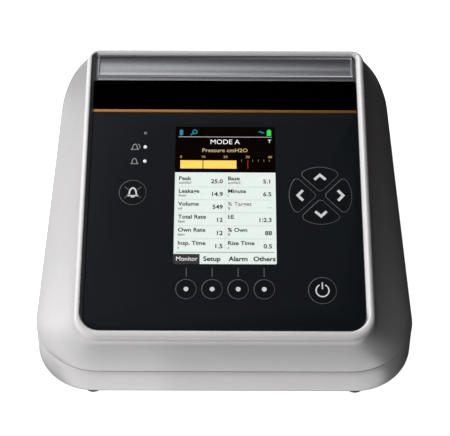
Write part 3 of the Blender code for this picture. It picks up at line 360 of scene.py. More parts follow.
# ------------------------------------------------------------------ case shells
REAR_TOP = on_panel(0, RECESS_LENGTH + LIP_REACH, LIP_DROP)
REAR_BOTTOM = Vector((0, Y_REAR, REAR_WALL_TOP))
REAR_ANGLE = math.atan2(REAR_TOP.z - REAR_BOTTOM.z, REAR_BOTTOM.y - REAR_TOP.y)


def on_rear(x, along, out=0.0):
    """A point on the sloping rear face: across, down from its top edge, and out of it."""
    y = REAR_TOP.y + along * math.cos(REAR_ANGLE) + out * math.sin(REAR_ANGLE)
    return Vector((x, y, REAR_TOP.z - along * math.sin(REAR_ANGLE) + out * math.cos(REAR_ANGLE)))


def base_loop(inset, z, tighten=0.0):
    """A level loop round the case, inset from its widest outline, its front corners tightened."""
    front_radius, rear_radius = FRONT_RADIUS - inset - tighten, REAR_RADIUS - inset
    loop = outline(HALF_WIDTH - inset, Y_FRONT + inset, Y_REAR - inset, front_radius, rear_radius)
    return [Vector((x, y, z)) for x, y, _ in loop]


def lip_loop(reach, out, front_reach=None):
    """A loop round the recess: how far outside its edge, and how far out of the panel's plane.

    front_reach is the distance along the front edge, where that differs.
    """
    front = -(front_reach or reach) * FRONT_LIP_SCALE
    rear = VISIBLE_RECESS + reach * REAR_LIP_SCALE
    rear_radius = max(REAR_LIP_RADIUS + reach, SMALLEST_LIP_RADIUS)
    loop = outline(RECESS_HALF + reach, front, rear, RECESS_RADIUS + reach, rear_radius)
    return [on_panel(x, y, out) for x, y, _ in loop]


def rear_profile(share):
    """The rear face's centre line: up the low wall, round a soft bend, then up the slope."""
    low, bend, high = Vector((0, Y_REAR, PARTING_Z)), REAR_BOTTOM, REAR_TOP

    def straight(s):
        if s <= BEND_SHARE:
            return low.lerp(bend, s / BEND_SHARE)
        return bend.lerp(high, (s - BEND_SHARE) / (1 - BEND_SHARE))

    if abs(share - BEND_SHARE) >= BEND_SPAN:
        return straight(share)
    start, end = straight(BEND_SHARE - BEND_SPAN), straight(BEND_SHARE + BEND_SPAN)
    t = (share - BEND_SHARE + BEND_SPAN) / (2 * BEND_SPAN)
    return start * (1 - t) ** 2 + bend * 2 * t * (1 - t) + end * t**2


def wall_loop(share, thick=0.0):
    """A loop on the side walls, a share of the way from the parting line to the lip."""
    angles = [a for _, _, a in outline(HALF_WIDTH, 0, Y_REAR - Y_FRONT, FRONT_RADIUS, REAR_RADIUS)]
    low = base_loop(thick, PARTING_Z)
    high = lip_loop(LIP_REACH - 1.3 * thick, LIP_DROP - thick)
    bulge = SIDE_BULGE * (27 / 4) * share * (1 - share) ** 2  # reaches SIDE_BULGE a third of the way up
    back = rear_profile(share)
    back.y -= thick
    back.z -= thick * share
    loop = []
    for start, end, angle in zip(low, high, angles):
        point = start.lerp(end, share) + Vector((bulge * math.cos(angle), 0, 0))
        loop.append(point.lerp(Vector((point.x, back.y, back.z)), max(0.0, math.sin(angle)) ** 1.5))
    return loop


def connector_cutter(bottom, top):
    """A block through the rear wall where the connector panel stands."""
    half = CONNECTOR_HALF
    corners = ((-half, bottom), (half, bottom), (half, top), (-half, top))
    ends = (Y_REAR - 6 * MM, Y_REAR + 4 * MM)
    return tool_from(skin([[Vector((x, y, z)) for x, z in corners] for y in ends]))


def rear_cutter(centre, size, radius, steps=6, depth=7 * MM):
    """A rounded block through the sloping rear face."""
    return tool_from(prism(rounded_box(centre, size, radius, steps), -depth, 5 * MM, on_rear))


def make_upper_shell():
    """The upper case: painted walls, the lip's crown and bevel, the recess, then the walls' inside."""
    seam = PARTING_Z + 0.19 * MM
    rows = [base_loop(0.5 * MM, seam), base_loop(0.12 * MM, seam + 0.08 * MM)]
    rows.append(base_loop(0.0, seam + 0.4 * MM))
    shares = (0.04, 0.10, 0.17, 0.23, 0.265, 0.30, 0.335, 0.37)
    shares += (0.44, 0.52, 0.60, 0.68, 0.76, 0.84, 0.91, 0.96)
    rows += [wall_loop(share) for share in shares]
    paint_bands = len(rows) - 1
    # Millimetres outside the recess, along its front edge where that is stated too, then out of its plane
    crown = (
        (4.47, -1.6), (4.46, -0.9), (4.41, -0.3), (4.28, 0.25), (4.06, 0.72), (3.75, 1.1), (3.35, 1.38),
        (2.9, 1.52),
    )
    bevel = (
        (2.45, 1.9, 1.55), (2.1, 1.1, 1.5), (1.85, 0.7, 1.35), (1.63, 0.45, 1.13), (1.1, 0.2, 0.6),
        (0.55, 0.08, 0.05), (0.2, 0.03, -0.35), (0.0, 0.0, -0.8),
    )
    recess = ((0.0, -2.2), (-2.4, -2.3), (-2.4, -4.2), (1.0, -5.4))
    rows += [lip_loop(reach * MM, out * MM) for reach, out in crown]
    rows += [lip_loop(reach * MM, out * MM, front * MM) for reach, front, out in bevel]
    rows += [lip_loop(reach * MM, out * MM) for reach, out in recess]
    rows += [wall_loop(share, WALL) for share in (0.8, 0.6, 0.4, 0.3, 0.15)]
    rows.append(base_loop(WALL, seam))
    materials = (paint_upper, paint_lip_painted_light, shell_inside, paint_bevel)
    # The crown's bands take the lighter lip paint, which is painted light
    bands = [0] * (paint_bands + 2) + [1] * (len(crown) + 1) + [3] * (len(bevel) - 3)
    bands += [2] * (len(rows) - len(bands))
    bm = skin(rows, ring=True, material_rows=bands)
    shell = finish_piece("case_upper_shell", bm, materials, node=("upper_case",))
    tools = [connector_cutter(0.0, CONNECTOR_TOP)]
    tools.append(rear_cutter(POCKET_CENTRE, POCKET_SIZE, 8.0 * MM, depth=9 * MM))
    tools.append(rear_cutter(DOOR_CENTRE, DOOR_SIZE, 0.15 * MM, 2))
    for number in range(LOUVRES):
        along = LOUVRE_CENTRE[1] + (number - LOUVRES // 2) * LOUVRE_PITCH
        tools.append(rear_cutter((LOUVRE_CENTRE[0], along), LOUVRE_SIZE, 1.05 * MM, 4))
    cut(shell, tools)


def make_lower_shell():
    """The lower case: a tray with a rounded bottom edge, foot wells and slots in its floor."""
    seam = PARTING_Z - 0.16 * MM
    low = BASE_Z + BOTTOM_ROUND
    floor = BASE_Z + FLOOR_THICKNESS
    rows = [base_loop(0.5 * MM, seam), base_loop(0.1 * MM, seam - 0.08 * MM)]
    rows.append(base_loop(0.0, seam - 0.35 * MM))
    for share in (0.33, 0.66):
        rows.append(base_loop(0.0, PARTING_Z + (low - PARTING_Z) * share, CORNER_SQUARING * share))
    for step in range(9):
        turn = math.radians(90 * step / 8)
        inset = BOTTOM_ROUND * (1 - math.cos(turn))
        rows.append(base_loop(inset, low - BOTTOM_ROUND * math.sin(turn), CORNER_SQUARING))
    inner = [base_loop(BOTTOM_ROUND, floor, CORNER_SQUARING), base_loop(WALL, low, CORNER_SQUARING)]
    inner.append(base_loop(WALL, seam))
    bm = bmesh.new()
    skin(rows, caps=False, bm=bm)
    first_inner = len(bm.verts)
    skin(inner, caps=False, bm=bm, material_rows=(1, 1))
    bm.verts.ensure_lookup_table()
    count = len(rows[0])
    outer_bottom = [bm.verts[first_inner - count + i] for i in range(count)]
    inner_bottom = [bm.verts[first_inner + i] for i in range(count)]
    rim_out = [bm.verts[i] for i in range(count)]
    rim_in = [bm.verts[len(bm.verts) - count + i] for i in range(count)]
    for loop, z, index in ((outer_bottom, BASE_Z, 0), (inner_bottom, floor, 1)):
        middle = bm.verts.new((0, (Y_FRONT + Y_REAR) / 2, z))
        for i in range(count):
            bm.faces.new((loop[i], loop[(i + 1) % count], middle)).material_index = index
    for i in range(count):
        j = (i + 1) % count
        bm.faces.new((rim_out[i], rim_out[j], rim_in[j], rim_in[i]))
    shell = finish_piece(
        "case_lower_shell", bm, (paint_lower, shell_inside), node=("lower_case",)
    )
    tools = [connector_cutter(CONNECTOR_BOTTOM, 40 * MM)]
    for place in FOOT_PLACES:
        well = circle(place, FOOT_WELL_RADIUS, 32)
        tools.append(tool_from(prism(well, 0.0, BASE_Z + 1.1 * MM, level)))
    for number in range(FLOOR_SLOTS):
        centre = (FLOOR_SLOT_START[0] + number * FLOOR_SLOT_PITCH, FLOOR_SLOT_START[1])
        slot = rounded_box(centre, FLOOR_SLOT_SIZE, 1.4 * MM, 4)
        tools.append(tool_from(prism(slot, 0.0, 8 * MM, level)))
    cut(shell, tools)


# ------------------------------------------------------------------ keys
def arc_corner(before, corner, after, radius):
    """Points of the arc that rounds a corner between two neighbours."""
    steps = 7
    corner = Vector(corner)
    to_before = (Vector(before) - corner).normalized()
    to_after = (Vector(after) - corner).normalized()
    half = to_before.angle(to_after) / 2
    centre = corner + (to_before + to_after).normalized() * (radius / math.sin(half))
    start = corner + to_before * (radius / math.tan(half)) - centre
    end = corner + to_after * (radius / math.tan(half)) - centre
    sweep = start.angle_signed(end)
    return [tuple(centre + Matrix.Rotation(-sweep * s / steps, 2) @ start) for s in range(steps + 1)]


def pad_outline(turn, grow=0.0):
    """A quarter of the round pad between its diagonals, with rounded corners. turn counts quarter turns."""
    radius, corner_radius = PAD_RADIUS + grow, PAD_CORNER_RADIUS + grow
    offset = (PAD_HALF_GAP - grow) * math.sqrt(2)
    reach = (math.sqrt(2 * radius**2 - offset**2) - offset) / 2
    right, tip, left = (reach, reach + offset), (0.0, offset), (-reach, reach + offset)
    edge = math.atan2(right[1], right[0])
    trim = PAD_ARC_TRIM / PAD_RADIUS
    arc = []
    for step in range(16):
        angle = edge + trim + (math.pi - 2 * edge - 2 * trim) * step / 15
        arc.append((radius * math.cos(angle), radius * math.sin(angle)))
    points = arc_corner(left, tip, right, corner_radius)
    points += arc_corner(tip, right, arc[0], corner_radius)
    points += arc[1:-1]
    points += arc_corner(arc[-1], left, tip, corner_radius)
    spin = Matrix.Rotation(turn * math.pi / 2, 2)
    turned = [spin @ Vector(p) for p in points]
    return [(PAD_CENTRE[0] + p.x, PAD_CENTRE[1] + p.y) for p in turned]


def make_cap(node, shape):
    """A key cap: skirt, softly rounded edge, a printed ring just inside it and a flat top."""
    # How far the outline grows and how far out it lies, in millimetres, and the material of the band after it
    levels = (
        (0.0, -3.6, 0), (0.0, -0.12, 0), (-0.06, 0.02, 0), (-0.16, 0.08, 1), (-0.50, 0.10, 0),
        (-0.52, 0.10, 0), (-1.2, 0.10, 0),
    )
    rows = [[on_panel(x, y, out * MM) for x, y in shape(grow * MM)] for grow, out, _ in levels]
    bands = [kind for _, _, kind in levels[:-1]]
    bm = skin(rows, material_rows=bands)
    stem = shape(-1.3 * MM)
    middle = Vector((sum(p[0] for p in stem), sum(p[1] for p in stem))) / len(stem)
    neck = [tuple(middle + (Vector(p) - middle) * 0.4) for p in stem]
    prism(neck, -6.2 * MM, -3.5 * MM, bm=bm)
    finish_piece(f"{node}_cap", bm, (key_film, grey_print), body=node, node=(node,))


def stroke(points, width, bm, out, thick=0.05 * MM, closed=False, place=on_panel):
    """A flat printed line of even width along points."""
    points = [Vector(p) for p in points]
    count = len(points)
    left, right = [], []
    for i, point in enumerate(points):
        before = points[(i - 1) % count] if closed or i else point
        after = points[(i + 1) % count] if closed or i < count - 1 else point
        sides = []
        for a, b in ((before, point), (point, after)):
            if (b - a).length > 1e-9:
                along = (b - a).normalized()
                sides.append(Vector((-along.y, along.x)))
        side = sum(sides, Vector((0, 0))).normalized()
        stretch = 1 / max(side.dot(sides[0]), 0.5)
        left.append(point + side * width / 2 * stretch)
        right.append(point - side * width / 2 * stretch)
    corners = []
    for height in (out, out + thick):
        corners.append([[bm.verts.new(place(p.x, p.y, height)) for p in line] for line in (left, right)])
    (left_low, right_low), (left_high, right_high) = corners
    for i in range(count if closed else count - 1):
        j = (i + 1) % count
        bm.faces.new((left_low[i], left_low[j], right_low[j], right_low[i]))
        bm.faces.new((left_high[i], right_high[i], right_high[j], left_high[j]))
        bm.faces.new((left_low[i], left_high[i], left_high[j], left_low[j]))
        bm.faces.new((right_low[i], right_low[j], right_high[j], right_high[i]))
    if not closed:
        for i in (0, count - 1):
            bm.faces.new((left_low[i], right_low[i], right_high[i], left_high[i]))


def arc_points(centre, radius, start, end, steps=32):
    """Points along an arc between two angles in degrees."""
    angles = [math.radians(start + (end - start) * s / steps) for s in range(steps + 1)]
    return [(centre[0] + radius * math.cos(a), centre[1] + radius * math.sin(a)) for a in angles]


def bell_points(centre, size):
    """Outline of a small bell, clockwise from its left foot."""
    shape = (
        (-0.50, -0.36), (-0.36, -0.20), (-0.30, 0.16), (-0.20, 0.38), (0.0, 0.50),
        (0.20, 0.38), (0.30, 0.16), (0.36, -0.20), (0.50, -0.36),
    )
    return [(centre[0] + x * size, centre[1] + y * size) for x, y in shape]


def menu_key_centre(number):
    return ((number - 1.5) * MENU_KEY_PITCH + MENU_KEY_SHIFT, MENU_KEY_ROW)


def make_pad_arrows():
    """A white chevron on each key of the round pad, pointing outwards."""
    for turn, node in enumerate(PAD_KEYS):
        bm = bmesh.new()
        spin = Matrix.Rotation(turn * math.pi / 2, 2)
        chevron = [spin @ Vector(p) * MM for p in ((-2.75, 8.5), (0.0, 11.05), (2.75, 8.5))]
        stroke([(PAD_CENTRE[0] + p.x, PAD_CENTRE[1] + p.y) for p in chevron], 1.35 * MM, bm, KEY_PRINT)
        finish_piece(f"{node}_arrow", bm, (white_print_painted_glow,), body=node)


def make_menu_dots():
    for number in range(4):
        bm = bmesh.new()
        dot = circle(menu_key_centre(number), 1.15 * MM, 32)
        prism(dot, KEY_PRINT, KEY_PRINT + 0.05 * MM, bm=bm)
        finish_piece(f"menu_key_{number + 1}_dot", bm, (white_print_painted_glow,), body=f"menu_key_{number + 1}")


def make_power_symbol():
    """An open ring with a bar through its gap."""
    bm = bmesh.new()
    x, up = POWER_KEY
    width = 0.62 * MM
    stroke(arc_points(POWER_KEY, 3.05 * MM, 115, 425), width, bm, KEY_PRINT)
    stroke([(x, up + 0.6 * MM), (x, up + 4.1 * MM)], width, bm, KEY_PRINT)
    finish_piece("power_key_symbol", bm, (white_print_painted_glow,), body="power_key")


def make_mute_symbol():
    """A bell with its clapper, and a fainter cross behind it."""
    bm = bmesh.new()
    x, up = MUTE_KEY
    stroke(bell_points(MUTE_KEY, 4.9 * MM), 0.8 * MM, bm, KEY_PRINT, closed=True)
    stroke([(x - 0.8 * MM, up - 2.3 * MM), (x + 0.8 * MM, up - 2.3 * MM)], 0.9 * MM, bm, KEY_PRINT)
    finish_piece("mute_key_symbol", bm, (white_print_painted_glow,), body="mute_key")
    bm = bmesh.new()
    for side in (-1, 1):
        for rise in (-1, 1):
            near = (x + side * 1.75 * MM, up + rise * 1.1 * MM)
            far = (x + side * 4.0 * MM, up + rise * 3.0 * MM)
            stroke([near, far], 0.5 * MM, bm, KEY_PRINT)
    finish_piece("mute_key_cross", bm, (grey_print,), body="mute_key")


def make_panel_print():
    """Leader lines from the display to the menu keys, and small bells beside the two alarm lamps."""
    bm = bmesh.new()
    for number in range(4):
        x, _ = menu_key_centre(number)
        stroke([(x, 26.6 * MM), (x, 31.2 * MM)], 0.45 * MM, bm, PANEL_PRINT)
    finish_piece("menu_key_leaders", bm, (grey_print,))
    bm = bmesh.new()
    for row in LAMP_ROWS[1:]:
        centre = (LAMP_X - 5.1 * MM, row - 0.3 * MM)
        stroke(bell_points(centre, 3.4 * MM), 0.45 * MM, bm, PANEL_PRINT, closed=True)
    wave = arc_points((LAMP_X - 4.1 * MM, LAMP_ROWS[1]), 1.5 * MM, -50, 75, 10)
    stroke(wave, 0.35 * MM, bm, PANEL_PRINT)
    finish_piece("lamp_symbols", bm, (grey_print_light,))


# ------------------------------------------------------------------ panel, header and grip
def key_shapes():
    """Each key's node name, with a function that gives its outline grown by a distance."""
    shapes = {
        "mute_key": lambda grow=0.0: circle(MUTE_KEY, ROUND_KEY_RADIUS + grow),
        "power_key": lambda grow=0.0: circle(POWER_KEY, ROUND_KEY_RADIUS + grow),
    }
    for number in range(4):
        centre = menu_key_centre(number)
        shapes[f"menu_key_{number + 1}"] = lambda grow=0.0, c=centre: circle(c, MENU_KEY_RADIUS + grow)
    for turn, name in enumerate(PAD_KEYS):
        shapes[name] = lambda grow=0.0, t=turn: pad_outline(t, grow)
    return shapes


def make_panel():
    """The keypad film over its plate, with holes for the display, the keys and the lamps."""
    half, radius = RECESS_HALF - PANEL_GAP, RECESS_RADIUS - PANEL_GAP
    rows = []
    for inset, out in ((0.0, -2.0), (0.0, -0.25), (0.08, -0.07), (0.25, 0.0)):
        inset *= MM
        front, rear = PANEL_GAP + inset, PANEL_LENGTH - inset
        loop = outline(half - inset, front, rear, radius - inset, 0.35 * MM, 14, 0)
        rows.append([on_panel(x, y, out * MM) for x, y, _ in loop])
    panel = finish_piece(
        "panel_film_sheet", skin(rows), (panel_film,), node=("front_panel",)
    )
    window_centre = (SCREEN_LEFT + SCREEN_SIZE[0] / 2, SCREEN_TOP - SCREEN_SIZE[1] / 2)
    holes = [rounded_box(window_centre, SCREEN_SIZE, 0.8 * MM, 4)]
    holes += [shape(0.1 * MM) for shape in key_shapes().values()]
    holes += [circle((LAMP_X, row), 1.1 * MM, 24) for row in LAMP_ROWS]
    cut(panel, [tool_from(prism(hole, -4 * MM, 2 * MM)) for hole in holes])


def make_header():
    """The gloss black band and the gold line below it, both slabs with softened top edges."""
    half = RECESS_HALF - PANEL_GAP
    for name, node, slot, (start, end), top, material in (
        ("header_band", "header_trim", "header_black", HEADER_ENDS, 0.0, header_gloss),
        ("accent_line", "accent_strip", "accent_gold", ACCENT_ENDS, 0.12, gold_print),
    ):
        rows = []
        for inset, out in ((0.0, -2.0), (0.0, top - 0.25), (0.07, top - 0.07), (0.25, top)):
            inset *= MM
            shape = [
                (inset - half, start + inset), (half - inset, start + inset),
                (half - inset, end - inset), (inset - half, end - inset),
            ]
            rows.append([on_panel(x, y, out * MM) for x, y in shape])
        finish_piece(name, skin(rows), (material,), node=(node,))


def make_grip():
    """The silver bar: a narrow front ledge, a bright edge, and a long hollow for the thumb."""
    front, edge, rear = GRIP_FRONT, GRIP_EDGE, VISIBLE_RECESS - PANEL_GAP
    bottom, ledge, soft = -6.0 * MM, 0.12 * MM, 0.12 * MM
    profile = [(front, bottom), (front, -0.1 * MM), (front + soft, 0.05 * MM), (edge - 0.45 * MM, 0.18 * MM)]
    profile += [(edge - 0.2 * MM, 0.30 * MM), (edge, 0.36 * MM), (edge + 0.2 * MM, 0.30 * MM)]
    hollow_start, hollow_end, depth = edge + 0.35 * MM, rear - 0.35 * MM, 1.35 * MM
    steps = 22
    for step in range(steps + 1):
        share = step / steps
        along = hollow_start + (hollow_end - hollow_start) * share
        profile.append((along, ledge - depth * 4 * share * (1 - share)))
    profile += [(rear, 0.2 * MM), (rear, bottom)]
    rim = 0.9 * MM
    right = [GRIP_HALF - rim, GRIP_HALF - rim + 0.3 * MM, GRIP_HALF - soft, GRIP_HALF]
    sides = [-x for x in reversed(right)] + right
    rows = []
    for number, x in enumerate(sides):
        at_end = number in (0, len(sides) - 1)
        on_rim = number not in (3, 4)
        row = []
        for along, out in profile:
            if on_rim and out < ledge and hollow_start <= along <= hollow_end:
                out = ledge
            if at_end and out > bottom:
                out -= soft
            row.append(on_panel(x, along, out))
        rows.append(row)
    finish_piece(
        "grip_bar", skin(rows), (silver_paint,), node=("handle_grip",), smooth=28
    )


# ------------------------------------------------------------------ display
# Sizes here are in millimetres from the display's top left corner: across, then down
SCREEN_WIDTH = SCREEN_SIZE[0] / MM
SCREEN_HEIGHT = SCREEN_SIZE[1] / MM
SCREEN_EDGE = 0.08
STATUS_BOTTOM = 25.1
TABLE_TOP = 28.3
ROW_PITCH = 6.84
COLUMNS = (1.9, 25.9)
VALUE_COLUMNS = (23.6, 47.3)
MENU_MIDDLE = 70.6
CAPITAL_SHARE = 0.70  # height of a capital, as a share of the font's size

# The lines of the icons, in metres
ICON_HEIGHT = -0.14 * MM
ICON_THICKNESS = 0.03 * MM


def on_screen(u, v, out=0.0):
    """A point on the display: across and down in millimetres, and out of it in metres."""
    return on_panel(SCREEN_LEFT + u * MM, SCREEN_TOP - v * MM, out)


def screen_box(left, top, right, bottom, bm, low=-0.16, high=-0.13):
    """Adds a thin block to bm, between two depths below the panel's plane."""
    shape = [(left, bottom), (right, bottom), (right, top), (left, top)]
    return prism(shape, low * MM, high * MM, on_screen, bm)


def screen_text(body, u, v, size, bm, align="LEFT", bold=0.055, widen=1.12):
    """Adds lettering to bm with its middle at v. size is the height of a capital."""
    curve = bpy.data.curves.new("lettering", "FONT")
    curve.body = body
    curve.size = size / CAPITAL_SHARE
    curve.align_x = align
    curve.offset = bold
    curve.extrude = 0.01
    curve.resolution_u = 3
    writing = bpy.data.objects.new("lettering", curve)
    bpy.context.scene.collection.objects.link(writing)
    graph = bpy.context.evaluated_depsgraph_get()
    mesh = bpy.data.meshes.new_from_object(writing.evaluated_get(graph), depsgraph=graph)
    start = len(bm.verts)
    bm.from_mesh(mesh)
    bm.verts.ensure_lookup_table()
    for vert in bm.verts[start:]:
        x, y, z = vert.co
        vert.co = on_screen(u + x * widen, v + size / 2 - y, (-0.10 + z) * MM)
    bpy.data.objects.remove(writing, do_unlink=True)
    bpy.data.meshes.remove(mesh)


def screen_piece(name, material, draw):
    """A piece of the display in one colour, whose shapes draw adds to a bmesh."""
    bm = bmesh.new()
    draw(bm)
    return finish_piece(name, bm, (material,))


def draw_icon_line(points, width, bm, closed=False):
    stroke(points, width, bm, ICON_HEIGHT, ICON_THICKNESS, closed, on_screen)


def draw_status_area(bm):
    screen_box(SCREEN_EDGE, SCREEN_EDGE, SCREEN_WIDTH - SCREEN_EDGE, STATUS_BOTTOM, bm, -1.5, -0.2)


def draw_table_area(bm):
    right, bottom = SCREEN_WIDTH - SCREEN_EDGE, SCREEN_HEIGHT - SCREEN_EDGE
    screen_box(SCREEN_EDGE, STATUS_BOTTOM, right, bottom, bm, -1.5, -0.2)


def draw_table_text(bm):
    """Six rows of labels and values in two columns, and the menu's words."""
    rows = (
        (("Peak", "25.0"), ("Base", "5.1")),
        (("Leakage", "14.9"), ("Minute", "6.5")),
        (("Volume", "549"), ("", "")),
        (("Total Rate", "12"), ("I:E", "1:2.3")),
        (("Own Rate", "12"), ("% Own", "88")),
        (("Insp. Time", "1.5"), ("Rise Time", "0.5")),
    )
    for number, row in enumerate(rows):
        v = TABLE_TOP + ROW_PITCH * number
        for (label, value), left, right in zip(row, COLUMNS, VALUE_COLUMNS):
            screen_text(label, left, v, 2.0, bm)
            screen_text(value, right, v + 1.6, 2.15, bm, "RIGHT")
    for text, u in (("Setup", 18.4), ("Alarm", 31.0), ("Others", 43.5)):
        screen_text(text, u, MENU_MIDDLE, 2.3, bm, "CENTER", 0.08)


def draw_faint_text(bm):
    """Units below the labels, one greyed label with a dash for its value, and the table's rules."""
    units = (("cmH2O", "cmH2O"), ("l/min", "l"), ("ml", "%"), ("bpm", ""), ("bpm", "%"), ("s", "s"))
    for number, row in enumerate(units):
        for text, u in zip(row, COLUMNS):
            screen_text(text, u, TABLE_TOP + 2.4 + ROW_PITCH * number, 1.2, bm)
    screen_text("% Target", COLUMNS[1], TABLE_TOP + ROW_PITCH * 2, 2.0, bm)
    screen_box(44.8, 43.9, VALUE_COLUMNS[1], 44.1, bm)
    for number in range(1, 6):
        v = TABLE_TOP - 2.2 + ROW_PITCH * number
        screen_box(1.6, v, SCREEN_WIDTH - 1.6, v + 0.07, bm)
    screen_box(24.6, 26.3, 24.67, 66.6, bm)
    screen_box(1.2, 67.15, SCREEN_WIDTH - 1.2, 67.45, bm)


def draw_tab(bm):
    screen_box(SCREEN_EDGE, 68.2, 12.6, SCREEN_HEIGHT - SCREEN_EDGE, bm, -0.19, -0.15)


def draw_white_text(bm):
    screen_text("MODE A", 24.5, 8.3, 2.6, bm, "CENTER", 0.0, 1.05)
    screen_text("Monitor", 6.4, MENU_MIDDLE, 2.2, bm, "CENTER", 0.0, 1.0)
    screen_text("T", 46.6, 7.9, 1.7, bm, "CENTER", 0.03)
    screen_box(1.6, 5.55, SCREEN_WIDTH - 1.6, 5.7, bm)


def draw_scale(bm):
    """The pressure scale's title, its numbers, and the ticks that the bar doesn't cover."""
    screen_text("Pressure cmH2O", 24.5, 13.0, 2.0, bm, "CENTER", 0.03)
    for mark in range(5):
        screen_text(str(mark * 10), 2.9 + 10.95 * mark, 16.6, 1.3, bm, "CENTER", 0.0)
    for mark in (0, 2, 3, 4, 5):
        u = 32.7 + 2.75 * mark
        screen_box(u - 0.07, 18.0, u + 0.07, 19.2, bm)


def draw_pressure_bar(bm):
    screen_box(2.6, 18.6, 13.5, 23.0, bm)
    screen_box(13.95, 18.6, 30.2, 23.0, bm)


def draw_limit_mark(bm):
    screen_box(35.65, 18.4, 35.95, 22.9, bm)


def draw_cyan_icons(bm):
    """A small lock, a magnifier and a wave."""
    screen_box(2.0, 1.9, 3.7, 4.6, bm)
    screen_box(2.5, 1.5, 3.2, 5.0, bm, -0.14, -0.12)
    draw_icon_line(circle((9.6, 2.8), 1.0, 24), 0.55, bm, closed=True)
    draw_icon_line([(7.4, 4.6), (8.9, 3.5)], 0.6, bm)
    draw_icon_line([(41.2, 2.9), (42.2, 2.5), (43.0, 3.4), (44.0, 3.0)], 0.5, bm)


def draw_battery_icon(bm):
    screen_box(45.3, 1.9, 47.5, 4.9, bm)
    screen_box(45.9, 1.4, 46.9, 1.9, bm)


def make_display():
    """The lit picture under the display window, one piece for each colour."""
    status = screen_piece("display_status_area", screen_dark, draw_status_area)
    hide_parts("display_window")
    for name, material, draw in (
        ("display_table_area", screen_pale, draw_table_area),
        ("display_dark_text", screen_ink, draw_table_text),
        ("display_faint_text", screen_grey, draw_faint_text),
        ("display_tab", screen_tab, draw_tab),
        ("display_white_text", screen_white, draw_white_text),
        ("display_scale", screen_tan, draw_scale),
        ("display_bar", screen_yellow, draw_pressure_bar),
        ("display_limit_mark", screen_red, draw_limit_mark),
        ("display_cyan_icons", screen_cyan, draw_cyan_icons),
        ("display_battery_icon", screen_green, draw_battery_icon),
    ):
        screen_piece(name, material, draw)


# ------------------------------------------------------------------ carried-over CAD nodes
def dress(node, material, bevel):
    """Gives a CAD node its material and, where wanted, softened edges."""
    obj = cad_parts[node]
    obj.data.materials.clear()
    obj.data.materials.append(material)
    if bevel:
        modifier = obj.modifiers.new("soft_edges", "BEVEL")
        modifier.width = bevel
        modifier.segments = 2
        modifier.limit_method = "ANGLE"
        modifier.angle_limit = math.radians(40)


def dress_nodes():
    """The finish of every CAD node that keeps its own mesh."""
    soft = 0.25 * MM
    rubber = ("foot_front_left", "foot_front_right", "foot_rear_left", "foot_rear_right", "blower_mount")
    dark = ("handle_pocket", "mains_socket", "data_flap", "dc_socket", "fan_frame", "alarm_buzzer")
    white = ("hose_port", "flow_sensor", "filter_holder", "blower_volute", "blower_lid", "blower_impeller")
    finishes = (
        (rubber_black, 0.0, rubber),
        (plastic_dark, soft, dark),
        (plastic_dark, 0.0, ("fan_rotor",)),
        (plastic_grey, soft, ("rear_panel", "battery_pack", "outlet_duct", "ribbon_cable")),
        (paint_lower, soft, ("filter_cover",)),
        (plastic_white, 0.0, white),
        (steel_plain, 0.0, ("lcd_module", "blower_motor", "filter_hinge_pin", "data_socket")),
        (steel_plain, soft, [f"mains_pin_{number}" for number in (1, 2, 3)]),
        (steel_plain, 0.0, [f"case_screw_{number}" for number in (1, 2, 3, 4)]),
        (board_green, 0.0, ("keypad_board", "power_supply", "main_board")),
        (foam_grey, 0.0, ("air_filter", "inlet_silencer")),
        (lamp_dim, 0.0, ("power_lamp",)),
        (lamp_lit, 0.0, ("low_alarm_lamp", "high_alarm_lamp")),
    )
    for material, bevel, nodes in finishes:
        for node in nodes:
            dress(node, material, bevel)


# ------------------------------------------------------------------ camera, floor and light
CAMERA_PLACE = (-1.9 * MM, -461.9 * MM, 512.1 * MM)
CAMERA_PAN = math.radians(-0.378)
CAMERA_TILT = math.radians(42.652)
CAMERA_ROLL = math.radians(0.244)
CAMERA_SHIFT = -0.0094
CAMERA_LENS = 100.0


def make_camera():
    """A long lens in front of the object and above it, looking down on the panel."""
    lens = bpy.data.cameras.new("camera")
    lens.lens = CAMERA_LENS
    lens.sensor_width = 36.0
    lens.shift_x = CAMERA_SHIFT
    camera = bpy.data.objects.new("camera", lens)
    camera.location = CAMERA_PLACE
    turn = Matrix.Rotation(CAMERA_TILT, 4, "X") @ Matrix.Rotation(CAMERA_PAN, 4, "Y")
    turn = turn @ Matrix.Rotation(CAMERA_ROLL, 4, "Z")
    camera.rotation_euler = turn.to_euler()
    bpy.context.scene.collection.objects.link(camera)
    bpy.context.scene.camera = camera


def make_floor():
    """A pale floor that curves up into a wall all round."""
    bm = bmesh.new()
    sides, radius, curve, wall_height = 96, 5.0, 1.5, 6.0
    profile = [(0.02, 0.0), (1.0, 0.0), (radius - curve, 0.0)]
    steps = 12
    for step in range(1, steps + 1):
        turn = math.radians(90 * step / steps)
        profile.append((radius - curve + curve * math.sin(turn), curve * (1 - math.cos(turn))))
    profile.append((radius, wall_height))
    rows = [[level(x, y, z) for x, y in circle((0, 0), reach, sides)] for reach, z in profile]
    skin(rows, bm=bm, caps=False)
    bm.verts.ensure_lookup_table()
    bm.faces.new([bm.verts[i] for i in range(sides)])
    mesh = bpy.data.meshes.new("studio_floor")
    bmesh.ops.recalc_face_normals(bm, faces=bm.faces)
    bm.to_mesh(mesh)
    bm.free()
    mesh.shade_smooth()
    mesh.materials.append(floor_pale)
    floor = bpy.data.objects.new("studio_floor", mesh)
    bpy.context.scene.collection.objects.link(floor)
    floor.visible_diffuse = False
    floor.visible_glossy = False
    floor.visible_shadow = False


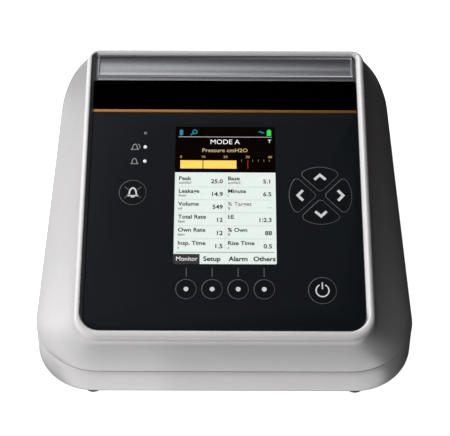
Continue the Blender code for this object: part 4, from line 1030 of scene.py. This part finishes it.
def area_light(name, position, target, size, power):
    """A rectangular card of light that faces its target and is not seen itself."""
    light = bpy.data.lights.new(name, "AREA")
    light.shape = "RECTANGLE"
    light.size, light.size_y = size
    light.energy = power
    lamp = bpy.data.objects.new(name, light)
    lamp.location = position
    lamp.rotation_euler = (Vector(target) - Vector(position)).to_track_quat("-Z", "Y").to_euler()
    lamp.visible_camera = False
    bpy.context.scene.collection.objects.link(lamp)


def make_lights():
    """Large soft cards round the object, low cards on the table that shine up, and a faint room."""
    middle = (0.0, -0.01, 0.05)
    for name, position, size, power in (
        ("key_softbox", (-1.6, 0.1, 1.1), (3.0, 2.2), 26.0),
        ("left_softbox", (-1.5, 0.2, 0.3), (3.2, 1.3), 7.0),
        ("top_softbox", (-0.5, 0.25, 1.4), (1.2, 1.2), 5.6),
        ("front_softbox", (-0.4, -1.5, 0.4), (1.4, 0.8), 6.2),
        ("back_softbox", (-0.55, 1.2, 1.0), (1.25, 1.0), 7.8),
    ):
        area_light(name, position, middle, size, power)
    for name, (x, y, z), size, power in (
        ("table_near", (-0.095, -0.126, -0.002), (0.38, 0.028), 0.026),
        ("table_corner", (-0.095, -0.145, -0.003), (0.13, 0.066), 0.0045),
        ("table_middle", (-0.125, -0.175, -0.002), (0.67, 0.07), 0.034),
        ("table_far", (-0.45, -0.52, -0.002), (1.4, 0.6), 0.20),
        ("table_left", (-0.20, -0.02, -0.002), (0.20, 0.30), 0.10),
    ):
        area_light(name, (x, y, z), (x, y, 1.0), size, power)
    world = bpy.data.worlds.new("studio")
    world.use_nodes = True
    background = world.node_tree.nodes["Background"]
    background.inputs["Color"].default_value = (1.0, 0.88, 0.93, 1.0)
    background.inputs["Strength"].default_value = 0.0105
    bpy.context.scene.world = world
    bpy.context.scene.view_settings.view_transform = "Standard"


make_camera()
make_floor()
make_lights()
make_upper_shell()
make_lower_shell()
make_panel()
make_header()
make_grip()
for node_name, node_shape in key_shapes().items():
    make_cap(node_name, node_shape)
make_pad_arrows()
make_menu_dots()
make_power_symbol()
make_mute_symbol()
make_panel_print()
make_display()
dress_nodes()
